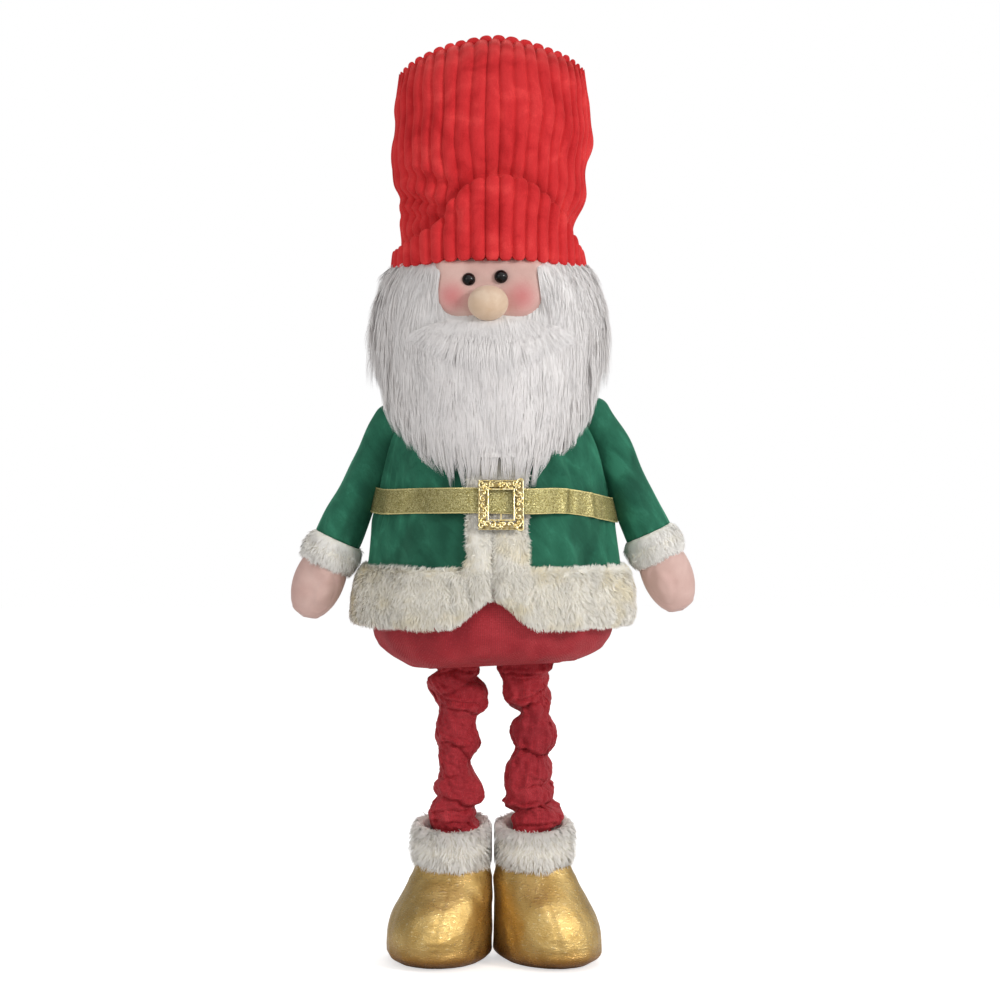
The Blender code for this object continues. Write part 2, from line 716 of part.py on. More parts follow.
def make_hand(side, sign, skin):
    """A stuffed mitten with its thumb in front, held in the cuff by its wrist."""
    top = -SLEEVE_LENGTH - FIT
    palm = top - CUFF_LENGTH
    wrist = WRIST_RADIUS / HAND_HALF_WIDTH
    outline = ((0.0, wrist), (0.2, 0.88), (0.45, 1.0), (0.7, 0.90), (0.88, 0.64), (1.0, 0.22))
    shares = (-CUFF_LENGTH / HAND_LENGTH, 0.0, 0.2, 0.42, 0.6, 0.76, 0.89, 1.0)

    def place(s, row):
        share = shares[row]
        turn = 2 * pi * s
        wide = HAND_HALF_WIDTH * along(outline, share)
        flat = 1 + (HAND_HALF_DEPTH / HAND_HALF_WIDTH - 1) * smooth_step(0.0, 0.3, share)
        lean = -sign * HAND_LEAN * smooth_step(0.1, 1.0, share)
        return wide * sin(turn) + lean, -wide * flat * cos(turn), palm - share * HAND_LENGTH

    hand = loft(side + "_hand", ROUND - 2, len(shares) - 1, place, skin)
    middle = (-sign * HAND_HALF_WIDTH * 0.35, -HAND_HALF_DEPTH * 0.62, palm - 0.42 * HAND_LENGTH)
    halves = (HAND_HALF_WIDTH * 0.36, HAND_HALF_DEPTH * 0.55, HAND_LENGTH * 0.32)
    thumb = ellipsoid(side + "_thumb", middle, halves, 12)
    thumb.parent = bpy.data.objects[side + "_shoulder"]
    join = hand.modifiers.new("thumb", "BOOLEAN")
    join.operation = "UNION"
    join.object = thumb
    return hand


def head_shape(name, grow, finish=None):
    """The head flat on the neck, or without a finish the whole ball that it takes up."""
    halves = (HEAD_HALF_WIDTH + grow, HEAD_HALF_DEPTH + grow, HEAD_HALF_HEIGHT + grow)
    neck = None if finish is None else HEAD_BOTTOM
    return ellipsoid(name, (0, 0, HEAD_MIDDLE), halves, 20, finish, neck)


def nose_shape(name, grow, finish=None):
    halves = (NOSE_HALF_WIDTH + grow, NOSE_HALF_DEPTH + grow, NOSE_HALF_HEIGHT + grow)
    return ellipsoid(name, (NOSE_ACROSS, -NOSE_OUT, HEAD_MIDDLE - NOSE_DROP), halves, 16, finish)


def make_head(skin, felt, bead):
    head_shape("head", 0.0, skin)
    room = head_shape("head_room", SOFT_GAP)
    cut(nose_shape("nose", 0.0, felt), room)
    for side, (across, above) in EYES.items():
        upright = (above / HEAD_HALF_HEIGHT) ** 2 + (across / HEAD_HALF_WIDTH) ** 2
        out = HEAD_HALF_DEPTH * sqrt(1 - upright) + EYE_RADIUS * 0.4
        middle = (across, -out, HEAD_MIDDLE + above)
        cut(ellipsoid(side + "_eye", middle, (EYE_RADIUS,) * 3, 12, bead), room)
    return room


def fur_half_width(height):
    """Half the width of beard and hair together."""
    share = (height - BEARD_BOTTOM) / (HAIR_TOP - BEARD_BOTTOM)
    return BEARD_HALF_WIDTH * along(BEARD_WIDTHS, share)


def beard_surface(s, height):
    """A half-round section: a front arc with shallow locks, closed by a flat back."""
    share = (height - BEARD_BOTTOM) / (HAIR_TOP - BEARD_BOTTOM)
    wide = fur_half_width(height)
    deep = BEARD_OUT * along(BEARD_DEPTHS, share)
    hanging = 1 - smooth_step(HAIR_BOTTOM - 0.010, HAIR_BOTTOM + 0.006, height)
    back = HAIR_SPLIT + BEARD_SET_FORWARD * hanging
    if s > ROUND_SIDE:
        t = (s - ROUND_SIDE) / (1 - ROUND_SIDE)
        return wide * (1 - 2 * t), -back, height
    turn = pi * (s / ROUND_SIDE - 0.5)
    lock = LOCK_DEPTH * (1 - smooth_step(0.45, 0.75, share)) * cos(LOCKS * turn)
    return (wide - lock) * sin(turn), -back - (deep - back - lock) * cos(turn), height


def make_beard(white, room):
    rows = 10

    def place(s, row):
        share = (row / rows) ** 1.25
        return beard_surface(s, BEARD_BOTTOM + share * (HAIR_TOP - BEARD_BOTTOM))

    beard = loft("beard", FUR_COLUMNS + 4, rows, place, white)
    face = box(
        "face_window",
        (FACE_ACROSS - FACE_WIDTH / 2, -2 * BEARD_OUT, HEAD_MIDDLE - FACE_DROP),
        (FACE_ACROSS + FACE_WIDTH / 2, -HEAD_HALF_DEPTH / 2, HAT_BOTTOM + 2 * FACE_CORNER),
    )
    corners = face.modifiers.new("corners", "BEVEL")
    corners.width = FACE_CORNER
    corners.segments = 3
    corners.limit_method = "ANGLE"
    moustache = moustache_shape("moustache_room", SOFT_GAP)
    cut(beard, room, face, moustache, bpy.data.objects["nose_room"], front_room())


def front_room():
    """The space that the coat and its front trims take under the beard."""
    heights = (BELT_TOP - 0.01, *UPPER_COAT_HEIGHTS, COAT_TOP + SOFT_GAP)

    def place(s, row):
        turn = 2 * pi * s
        height = heights[row]
        edge = FRONT_TRIM_WIDTH + FRONT_TRIM_THICKNESS
        x = coat_half_width(height) * sin(turn)
        over = 1 - smooth_step(edge, edge + FRONT_TRIM_EASE, abs(x))
        trim = over * (FRONT_TRIM_THICKNESS + 3 * SOFT_GAP) if cos(turn) > 0 else 0.0
        return coat_surface(turn, height, SOFT_GAP * stretch(height) + trim, folded=False)

    return loft("front_room", COAT_COLUMNS, len(heights) - 1, place)


def make_back_hair(white, room):
    rows = 6

    def place(s, row):
        height = HAIR_BOTTOM + (HAIR_TOP - HAIR_BOTTOM) * row / rows
        wide = fur_half_width(height)
        deep = HAIR_BACK * along(HAIR_DEPTHS, row / rows)
        front = SOFT_GAP - HAIR_SPLIT
        if s > ROUND_SIDE:
            t = (s - ROUND_SIDE) / (1 - ROUND_SIDE)
            return wide * (2 * t - 1), front, height
        turn = pi * (s / ROUND_SIDE - 0.5)
        return -wide * sin(turn), front + (deep - front) * cos(turn), height

    hair = loft("back_hair", FUR_COLUMNS + 4, rows, place, white)
    heights = (*UPPER_COAT_HEIGHTS[2:], COAT_TOP + SOFT_GAP)
    outs = [SOFT_GAP * stretch(height) for height in heights]
    cut(hair, room, coat_ring("collar_room", heights, outs))


def moustache_shape(name, grow, finish=None):
    rows = 12

    def place(s, row):
        share = 2 * row / rows - 1
        reach = MOUSTACHE_LEFT if share < 0 else MOUSTACHE_RIGHT
        taper = sqrt(max(0.012, 1 - abs(share) ** 2.2))
        pinch = 1 - 0.18 * (1 - smooth_step(0.0, 0.25, abs(share)))
        turn = 2 * pi * s
        out = MOUSTACHE_OUT - MOUSTACHE_SWEEP * share**2
        drop = MOUSTACHE_DROP + MOUSTACHE_FALL * abs(share) ** 1.5
        up = (MOUSTACHE_HALF_HEIGHT * taper * pinch + grow) * cos(turn)
        ahead = (MOUSTACHE_HALF_DEPTH * taper + grow) * sin(turn)
        return share * (reach + grow), -out - ahead, HEAD_MIDDLE - drop + up

    return loft(name, 12, rows, place, finish)


def crown_surface(turn, share, out):
    """The corduroy crown: wales run up it and over a seam from left to right along its top."""
    swell = along(HAT_WIDTHS, share)
    wide = HAT_EDGE_HALF_WIDTH + (HAT_HALF_WIDTH - HAT_EDGE_HALF_WIDTH) * swell
    deep = HAT_HALF_DEPTH * along(HAT_DEPTHS, share)
    wale = round(turn / (2 * pi) * 2 * WALES) % 2
    out -= WALE_DEPTH * wale * min(1.0, deep / HAT_HALF_DEPTH * 1.5)
    x = (wide + out) * sin(turn)
    y = -(deep + out * min(1.0, deep / HAT_HALF_DEPTH * 3)) * cos(turn)
    top = HAT_HEIGHT - HAT_SEAM_DROP * (x / HAT_HALF_WIDTH) ** 2
    return x, y, HAT_BOTTOM + share * top


def make_hat(plush, room):
    shares = (0.0, 0.25, 0.5, 0.72, 0.86, 0.945, 1.0)

    def crown(s, row):
        return crown_surface(2 * pi * s, shares[row], 0.0)

    cut(loft("hat_crown", 2 * WALES, len(shares) - 1, crown, plush), room)
    order = ((0, 0.0), (1, 0.0), (1, 0.55), (1, 1.0), (0, 1.0))

    def brim(s, row):
        outer, up = order[row % len(order)]
        turn = 2 * pi * s
        x = HAT_HALF_WIDTH * sin(turn)
        ahead = smooth_step(-0.25, 0.25, cos(turn))
        peak = 1 - smooth_step(BRIM_PEAK_FLAT, BRIM_PEAK_REACH, abs(x - BRIM_PEAK_ACROSS))
        tall = BRIM_HEIGHT + BRIM_PEAK * peak * ahead
        thick = BRIM_THICKNESS * (1 - 0.25 * up) * outer
        share = up * (tall - outer * BRIM_ROLL) / HAT_HEIGHT
        return crown_surface(turn, share, BRIM_GAP + thick)

    loft("hat_brim", 2 * WALES, len(order), brim, plush, open_rows=False)


def make_pole(side, sign, steel, plastic):
    across = sign * POLE_SPREAD / 2
    upper_top = UPPER_TUBE_BOTTOM + UPPER_TUBE_LENGTH
    turned(
        side + "_upper_tube",
        across,
        tube_profile(UPPER_TUBE_RADIUS, UPPER_TUBE_BORE, UPPER_TUBE_BOTTOM, upper_top),
        steel,
    )
    lower_top = LOWER_TUBE_BOTTOM + LOWER_TUBE_LENGTH
    turned(
        side + "_lower_tube",
        across,
        tube_profile(LOWER_TUBE_RADIUS, LOWER_TUBE_RADIUS - POLE_WALL, LOWER_TUBE_BOTTOM, lower_top),
        steel,
    )
    top = UPPER_TUBE_BOTTOM + COLLAR_CUP
    bottom = top - COLLAR_LENGTH
    seat = UPPER_TUBE_BOTTOM - FIT
    collar = (
        (UPPER_TUBE_RADIUS + FIT + 0.0008, top),
        (COLLAR_RADIUS, top - 0.002),
        (COLLAR_RADIUS, bottom + 0.003),
        (COLLAR_RADIUS - 0.0018, bottom),
        (LOWER_TUBE_RADIUS + FIT, bottom),
        (LOWER_TUBE_RADIUS + FIT, seat),
        (UPPER_TUBE_RADIUS + FIT, seat),
        (UPPER_TUBE_RADIUS + FIT, top),
    )
    turned(side + "_lock_collar", across, collar, plastic)
    plate_bottom = SOLE_THICKNESS + FIT
    plate_top = plate_bottom + SOLE_PLATE_THICKNESS
    plate = (
        (HUB_RADIUS, plate_top + HUB_HEIGHT),
        (HUB_RADIUS, plate_top),
        (SOLE_PLATE_RADIUS, plate_top),
        (SOLE_PLATE_RADIUS, plate_bottom),
        (0.0, plate_bottom),
        (0.0, plate_top),
        (LOWER_TUBE_RADIUS + FIT, plate_top),
        (LOWER_TUBE_RADIUS + FIT, plate_top + HUB_HEIGHT),
    )
    turned(side + "_sole_plate", across, plate, plastic)


def tube_profile(outer, inner, bottom, top):
    return ((outer, top), (outer, bottom), (inner, bottom), (inner, top))


def make_leg_cover(side, sign, cloth):
    """Cloth pushed together on the pole: slanting folds with sharp creases between them."""
    rows = 21
    heights = [COVER_BOTTOM + COVER_LENGTH * row / rows for row in range(rows + 1)]
    phase = 0.4 if side == "left" else 1.9

    def place(s, row):
        turn = 2 * pi * s
        axis = sign * POLE_SPREAD / 2
        if row > rows:
            height = heights[-1] if row == rows + 1 else heights[0]
            return axis + COVER_BORE * sin(turn), -COVER_BORE * cos(turn), height
        share = row / rows
        slant = 0.32 * sin(turn + phase + 4.1 * share) + 0.12 * sin(2 * turn - phase + 9 * share)
        fold = abs(sin(pi * (COVER_FOLDS * share + slant))) ** 0.7
        loose = smooth_step(0.12, 0.3, share)
        ends = smooth_step(0.0, 0.05, 1 - share)
        radius = COVER_END_RADIUS + (COVER_RADIUS - COVER_END_RADIUS) * loose
        radius += COVER_BULGE * (fold - 0.62) * (0.35 + 0.65 * loose) * ends
        if share < 0.24:
            radius = min(radius, COVER_END_RADIUS)
        lean = -sign * COVER_LEAN * smooth_step(0.2, 1.0, share)
        sway = COVER_SWAY * sin(pi * COVER_FOLDS * share + phase) * loose
        return axis + lean + sway + radius * sin(turn), -radius * cos(turn), heights[row]

    loft(side + "_leg_cover", ROUND, rows + 3, place, cloth, open_rows=False)


def make_boot(side, sign, lame):
    """A rounded boot that leans in to the pole, its toe turned a little outwards."""
    base = BOOT_HALF_WIDTH + BOOT_GAP / 2
    pole = POLE_SPREAD / 2
    top_half = BOOT_TRIM_RADIUS - BOOT_TOP_INSET

    def place(s, row):
        share, wide, toe, heel = BOOT_ROWS[row]
        turn = 2 * pi * s
        half = min(BOOT_HALF_WIDTH * wide, base if share < 0.9 else top_half)
        middle = base + (pole - base) * smooth_step(0.3, 1.0, share)
        half = min(half, middle - BOOT_GAP / 2)
        reach = BOOT_TOE * toe if cos(turn) > 0 else BOOT_HEEL * heel
        y = -reach * np.sign(cos(turn)) * abs(cos(turn)) ** 0.92
        ahead = max(0.0, -y)
        x = middle + half * sin(turn) + ahead * sin(TOE_OUT[side]) * (1 - 0.5 * share)
        return sign * x, y, share * BOOT_HEIGHT

    boot = loft(side + "_boot", FUR_COLUMNS, len(BOOT_ROWS) - 1, place, lame)
    pocket_bottom = SOLE_THICKNESS
    plate_top = pocket_bottom + SOLE_PLATE_THICKNESS + 2 * FIT
    hub_top = plate_top + HUB_HEIGHT
    pocket = (
        (LOWER_TUBE_RADIUS + FIT, BOOT_HEIGHT + 0.01),
        (LOWER_TUBE_RADIUS + FIT, hub_top),
        (HUB_RADIUS + FIT, hub_top),
        (HUB_RADIUS + FIT, plate_top),
        (SOLE_PLATE_RADIUS + FIT, plate_top),
        (SOLE_PLATE_RADIUS + FIT, pocket_bottom),
        (0.0, pocket_bottom),
        (0.0, BOOT_HEIGHT + 0.01),
    )
    cut(boot, turned(side + "_boot_pocket", sign * pole, pocket))


def make_boot_trim(side, sign, fur):
    section = 8
    low = BOOT_HEIGHT + SOFT_GAP

    def place(s, row):
        turn = 2 * pi * s
        around = 2 * pi * row / section
        out = 0.5 + 0.5 * np.sign(cos(around)) * abs(cos(around)) ** 0.7
        radius = BOOT_TRIM_BORE + (BOOT_TRIM_RADIUS - BOOT_TRIM_BORE) * out
        up = 0.5 + 0.5 * np.sign(sin(around)) * abs(sin(around)) ** 0.7
        x = sign * POLE_SPREAD / 2 + radius * sin(turn)
        return x, -radius * cos(turn), low + up * BOOT_TRIM_HEIGHT

    loft(side + "_boot_trim", ROUND + 2, section, place, fur, open_rows=False)


def make_figure():
    corduroy = material("red_corduroy", 214, 46, 48, 0.85)
    burlap = material("red_burlap", 168, 36, 46, 0.95)
    green = material("green_velvet", 34, 104, 76, 0.80)
    plush = material("cream_plush", 236, 230, 214, 0.95)
    white = material("white_long_pile", 238, 240, 242, 0.85)
    skin = material("skin_cloth", 232, 186, 170, 0.75)
    felt = material("nose_felt", 226, 192, 172, 0.95)
    bead = material("black_bead", 12, 12, 14, 0.15)
    ribbon = material("gold_ribbon", 176, 158, 92, 0.40, 0.6)
    gold = material("gold_buckle", 214, 186, 110, 0.25, 1.0)
    lame = material("gold_lame", 200, 156, 66, 0.35, 0.7)
    steel = material("tube_steel", 190, 192, 196, 0.30, 1.0)
    plastic = material("collar_plastic", 40, 40, 44, 0.50)
    board = material("board_wood", 196, 160, 116, 0.70)

    room = make_head(skin, felt, bead)
    cut(moustache_shape("moustache", 0.0, white), room, nose_shape("nose_room", SOFT_GAP))
    make_beard(white, room)
    make_back_hair(white, room)
    make_hat(corduroy, room)
    make_body(burlap)
    make_hip_board(board)
    make_coat(green, plush)
    make_belt(ribbon)
    make_buckle(gold)
    make_arms(green, plush, skin)
    for side, sign in SIDES.items():
        make_pole(side, sign, steel, plastic)
        make_leg_cover(side, sign, burlap)
        make_boot(side, sign, lame)
        make_boot_trim(side, sign, plush)


make_figure()
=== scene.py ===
from math import cos, pi, radians, sin

import bmesh
import bpy
import numpy as np
from mathutils import Euler, Matrix, Vector, kdtree


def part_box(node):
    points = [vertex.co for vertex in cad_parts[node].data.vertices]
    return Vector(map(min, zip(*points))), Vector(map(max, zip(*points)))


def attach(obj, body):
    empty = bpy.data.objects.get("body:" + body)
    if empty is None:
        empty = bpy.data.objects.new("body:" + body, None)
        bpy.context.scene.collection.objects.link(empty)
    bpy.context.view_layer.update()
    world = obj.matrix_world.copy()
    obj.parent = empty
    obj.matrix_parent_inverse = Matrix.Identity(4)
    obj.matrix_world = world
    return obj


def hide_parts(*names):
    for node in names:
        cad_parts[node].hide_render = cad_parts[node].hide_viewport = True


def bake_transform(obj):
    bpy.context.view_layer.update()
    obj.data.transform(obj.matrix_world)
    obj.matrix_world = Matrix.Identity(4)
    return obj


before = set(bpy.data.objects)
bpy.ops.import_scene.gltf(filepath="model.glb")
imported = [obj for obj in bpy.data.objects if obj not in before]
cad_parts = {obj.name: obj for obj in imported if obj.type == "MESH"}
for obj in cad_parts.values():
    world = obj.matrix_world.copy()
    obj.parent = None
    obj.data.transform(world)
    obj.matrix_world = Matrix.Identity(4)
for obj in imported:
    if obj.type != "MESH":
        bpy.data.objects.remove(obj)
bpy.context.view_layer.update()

# The figure faces -Y. Left and right are as seen from the front. Everything is in metres.
sides = {"left": -1, "right": 1}


# Sizes read from the frame
def nodeBox(node):
    low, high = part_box(node)
    return np.array(low), np.array(high)


bodyLow, bodyHigh = nodeBox("torso")
coatLow, coatHigh = nodeBox("coat")
hemLow, hemHigh = nodeBox("hem_trim")
beltLow, beltHigh = nodeBox("belt")
buckleLow, buckleHigh = nodeBox("buckle")
headLow, headHigh = nodeBox("head")
beardLow, beardHigh = nodeBox("beard")
hairLow = nodeBox("back_hair")[0]
hatLow, hatHigh = nodeBox("hat_crown")
bodyBottom, bodyTop = bodyLow[2], bodyHigh[2]
hemBottom, hemTop = hemLow[2], hemHigh[2]
coatTop = coatHigh[2]
beltMiddle = (beltLow[2] + beltHigh[2]) / 2
beltHalf = (beltHigh[2] - beltLow[2]) / 2
headHalf = np.array([headHigh[0], headHigh[1], headHigh[0]])  # as tall as it is wide
headMiddle = headHigh[2] - headHalf[2]
furTop = beardHigh[2]
hatHeight = hatHigh[2] - hatLow[2]


# Small numeric helpers
# reads the smooth curve through (place, value) points
def curveThrough(points, at):
    places, values = np.array(points, float).T
    slopes = np.gradient(values, places)
    at = np.asarray(at, float)
    i = np.clip(np.searchsorted(places, at) - 1, 0, len(places) - 2)
    step = places[i + 1] - places[i]
    t = np.clip((at - places[i]) / step, 0, 1)
    ends = (1 + 2 * t) * (1 - t) ** 2 * values[i] + t * t * (3 - 2 * t) * values[i + 1]
    return ends + step * (t * (1 - t) ** 2 * slopes[i] - t * t * (1 - t) * slopes[i + 1])


def smooth(start, end, at):
    t = np.clip((np.asarray(at, float) - start) / (end - start), 0, 1)
    return t * t * (3 - 2 * t)


def bump(middle, width, at):
    return np.exp(-(((np.asarray(at, float) - middle) / width) ** 2))


# a smooth random field of about -1 to 1, with features of about this size
def wobble(points, size, seed, octaves=2):
    rng = np.random.default_rng(seed)
    total = 0.0
    for octave in range(octaves):
        for wave in range(5):
            way = rng.normal(size=3)
            way *= 2 * pi * 2**octave * rng.uniform(0.7, 1.3) / size / np.linalg.norm(way)
            total = total + 0.5**octave * np.sin(points @ way + rng.uniform(0, 2 * pi))
    return total / 2.6


def unit(vectors):
    return vectors / np.maximum(np.linalg.norm(vectors, axis=-1, keepdims=True), 1e-9)


def bent(value, power):
    return np.sign(value) * np.abs(value) ** power


def middleX(node):
    low, high = nodeBox(node)
    return (low[0] + high[0]) / 2


def stack(*columns):
    return np.stack(np.broadcast_arrays(*columns), axis=-1)


# Making pieces
def newObject(name, mesh, material):
    mesh.materials.append(material)
    made = bpy.data.objects.new(name, mesh)
    bpy.context.scene.collection.objects.link(made)
    return made


# a grid surface: place(u, v) gives the points for shares u round the form and v along it
def surface(name, place, columns, rows, material, around=True, loop=False, caps=False, cloth=(1, 1),
            keep=None, closed=True):
    wide = columns if around else columns + 1
    tall = rows if loop else rows + 1
    v, u = np.meshgrid(np.arange(tall) / rows, np.arange(wide) / columns, indexing="ij")
    points = place(u.ravel(), v.ravel())
    r, c = (a.ravel() for a in np.meshgrid(np.arange(rows), np.arange(columns), indexing="ij"))
    nextC = (c + 1) % wide
    nextR = (r + 1) % tall
    faces = stack(r * wide + c, r * wide + nextC, nextR * wide + nextC, nextR * wide + c)
    if keep is not None:
        chosen = keep(points[faces].mean(axis=1))
        faces, r, c = faces[chosen], r[chosen], c[chosen]
    mesh = bpy.data.meshes.new(name)
    mesh.from_pydata(points.tolist(), [], faces.tolist())
    alongCloth = stack(c, c + 1, c + 1, c) * cloth[0] / columns
    upCloth = stack(r, r, r + 1, r + 1) * cloth[1] / rows
    corners = stack(alongCloth, upCloth)
    layer = mesh.uv_layers.new(name="cloth")
    layer.data.foreach_set("uv", corners.astype(np.float32).ravel())
    bm = bmesh.new()
    bm.from_mesh(mesh)
    bmesh.ops.remove_doubles(bm, verts=bm.verts, dist=1e-6)
    loose = [corner for corner in bm.verts if not corner.link_faces]
    bmesh.ops.delete(bm, geom=loose, context="VERTS")
    if caps:
        bmesh.ops.holes_fill(bm, edges=[edge for edge in bm.edges if edge.is_boundary], sides=0)
    if closed:
        bmesh.ops.recalc_face_normals(bm, faces=bm.faces)
    bm.to_mesh(mesh)
    bm.free()
    mesh.shade_smooth()
    return newObject(name, mesh, material)


def ball(name, middle, halves, segments, material):
    bm = bmesh.new()
    bmesh.ops.create_uvsphere(bm, u_segments=segments, v_segments=segments // 2, radius=1.0)
    bmesh.ops.transform(bm, matrix=Matrix.LocRotScale(Vector(middle), None, Vector(halves)), verts=bm.verts)
    mesh = bpy.data.meshes.new(name)
    bm.to_mesh(mesh)
    bm.free()
    mesh.shade_smooth()
    return newObject(name, mesh, material)


def solidify(piece, thickness, inward=True):
    shell = piece.modifiers.new("cloth", "SOLIDIFY")
    shell.thickness = thickness
    shell.offset = -1 if inward else 1


# the piece moves with a body and stands for the nodes
def settle(piece, body, slot, *nodes):
    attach(piece, body)
    if nodes:
        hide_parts(*nodes)
    return piece


# Pile: every fibre is a thin tapered blade
# blades along paths (count, steps, 3), shaded part as blades and part as the pile's surface
def strands(name, paths, sideways, width, material, rng, roll=0.6, soft=0.7, edge=0.45, taper=1.5, form=None):
    count, steps = paths.shape[:2]
    ahead = unit(np.gradient(paths, axis=1))
    across = sideways[:, None, :] - ahead * np.sum(ahead * sideways[:, None, :], axis=-1, keepdims=True)
    across = unit(across)
    outward = np.cross(ahead, across)
    turned = rng.normal(0, roll, count).clip(-1.2, 1.2)[:, None, None]
    blade = across * np.cos(turned) + outward * np.sin(turned)
    facing = outward * np.cos(turned) - across * np.sin(turned)
    share = np.linspace(0, 1, steps)
    half = width[:, None] / 2 * (1 - share**taper)[None, :] + 0.00003
    left = paths - blade * half[..., None]
    right = paths + blade * half[..., None]
    pairs = steps - 1
    each = 2 * pairs + 1
    points = np.empty((count, each, 3))
    points[:, 0 : 2 * pairs : 2] = left[:, :pairs]
    points[:, 1 : 2 * pairs : 2] = right[:, :pairs]
    points[:, -1] = paths[:, -1]
    normals = np.empty_like(points)
    body = soft * outward + (1 - soft) * facing
    if form is not None:
        body = 0.30 * body + 0.70 * form(paths)
    normals[:, 0 : 2 * pairs : 2] = (body - edge * blade)[:, :pairs]
    normals[:, 1 : 2 * pairs : 2] = (body + edge * blade)[:, :pairs]
    normals[:, -1] = body[:, -1]
    first = np.arange(count)[:, None] * each
    a = 2 * np.arange(pairs - 1)[None, :]
    quads = stack(first + a + 1, first + a, first + a + 2, first + a + 3).reshape(-1)
    last = 2 * (pairs - 1)
    ends = stack(first + last + 1, first + last, first + last + 2).reshape(-1)
    mesh = bpy.data.meshes.new(name)
    mesh.vertices.add(count * each)
    mesh.vertices.foreach_set("co", points.astype(np.float32).ravel())
    mesh.loops.add(len(quads) + len(ends))
    mesh.loops.foreach_set("vertex_index", np.concatenate([quads, ends]).astype(np.int32))
    starts = np.concatenate([np.arange(len(quads) // 4) * 4, len(quads) + np.arange(count) * 3])
    mesh.polygons.add(len(starts))
    mesh.polygons.foreach_set("loop_start", starts.astype(np.int32))
    mesh.update(calc_edges=True)
    mesh.validate()
    tone = mesh.color_attributes.new(name="tone", type="FLOAT_COLOR", domain="POINT")
    tones = np.ones((count, each, 4), np.float32)
    tones[:, 0 : 2 * pairs : 2, 0] = tones[:, 1 : 2 * pairs : 2, 0] = share[:pairs]
    tones[..., 1] = rng.random(count)[:, None]
    tone.data.foreach_set("color", tones.ravel())
    mesh.shade_smooth()
    mesh.normals_split_custom_set_from_vertices(unit(normals).reshape(-1, 3).tolist())
    return newObject(name, mesh, material)


# draws the fibres' ends together into tufts of about this many fibres
def clumped(paths, rng, size, strength):
    count = len(paths)
    guides = rng.choice(count, max(1, count // size), replace=False)
    tree = kdtree.KDTree(len(guides))
    middle = paths.shape[1] // 2
    for i, guide in enumerate(guides):
        tree.insert(paths[guide, middle], i)
    tree.balance()
    nearest = guides[np.array([tree.find(point)[1] for point in paths[:, middle]])]
    pull = (strength * rng.uniform(0.3, 1.0, count))[:, None, None]
    grow = (np.linspace(0, 1, paths.shape[1]) ** 1.6)[None, :, None]
    return paths + (paths[nearest] - paths) * pull * grow


# Node helpers
def put(tree, kind, inputs=None, **settings):
    node = tree.nodes.new("ShaderNode" + kind)
    for name, value in settings.items():
        setattr(node, name, value)
    for name, value in (inputs or {}).items():
        if isinstance(value, bpy.types.NodeSocket):
            tree.links.new(value, node.inputs[name])
        else:
            node.inputs[name].default_value = value
    return node


def calc(tree, operation, a, b=0.0, c=0.0):
    return put(tree, "Math", {0: a, 1: b, 2: c}, operation=operation).outputs[0]


def between(tree, value, low, high, toLow=0.0, toHigh=1.0):
    inputs = {"Value": value, "From Min": low, "From Max": high, "To Min": toLow, "To Max": toHigh}
    return put(tree, "MapRange", inputs, interpolation_type="SMOOTHSTEP").outputs["Result"]


def mixed(tree, share, a, b, how="MIX"):
    node = put(tree, "Mix", {0: share, 6: a, 7: b}, data_type="RGBA", blend_type=how)
    return node.outputs[2]


# noise whose features are about this size in metres, drawn out along an axis by stretch
def noise(tree, vector, size, detail=3.0, roughness=0.55, stretch=None):
    if stretch is not None:
        vector = put(tree, "VectorMath", {0: vector, 1: stretch}, operation="MULTIPLY").outputs[0]
    inputs = {"Vector": vector, "Scale": 1 / size, "Detail": detail, "Roughness": roughness}
    return put(tree, "TexNoise", inputs).outputs["Fac"]


# screen values from 0 to 255 as a linear colour
def colour(red, green, blue):
    linear = [((c / 255 + 0.055) / 1.055) ** 2.4 if c > 10 else c / 255 / 12.92 for c in (red, green, blue)]
    return (*linear, 1.0)


def startGroup(name, inputs, outputs):
    tree = bpy.data.node_groups.new(name, "ShaderNodeTree")
    for label, kind, value in inputs:
        socket = tree.interface.new_socket(label, in_out="INPUT", socket_type="NodeSocket" + kind)
        if value is not None:
            socket.default_value = value
    for label, kind in outputs:
        tree.interface.new_socket(label, in_out="OUTPUT", socket_type="NodeSocket" + kind)
    return tree, tree.nodes.new("NodeGroupInput").outputs, tree.nodes.new("NodeGroupOutput").inputs


def place(tree, group, inputs):
    return put(tree, "Group", inputs, node_tree=group).outputs


def greyOf(tree, level):
    return put(tree, "CombineColor", {0: level, 1: level, 2: level}).outputs[0]


def toneOf(tree):
    tone = put(tree, "Attribute", attribute_name="tone").outputs["Color"]
    return put(tree, "SeparateColor", {0: tone}).outputs


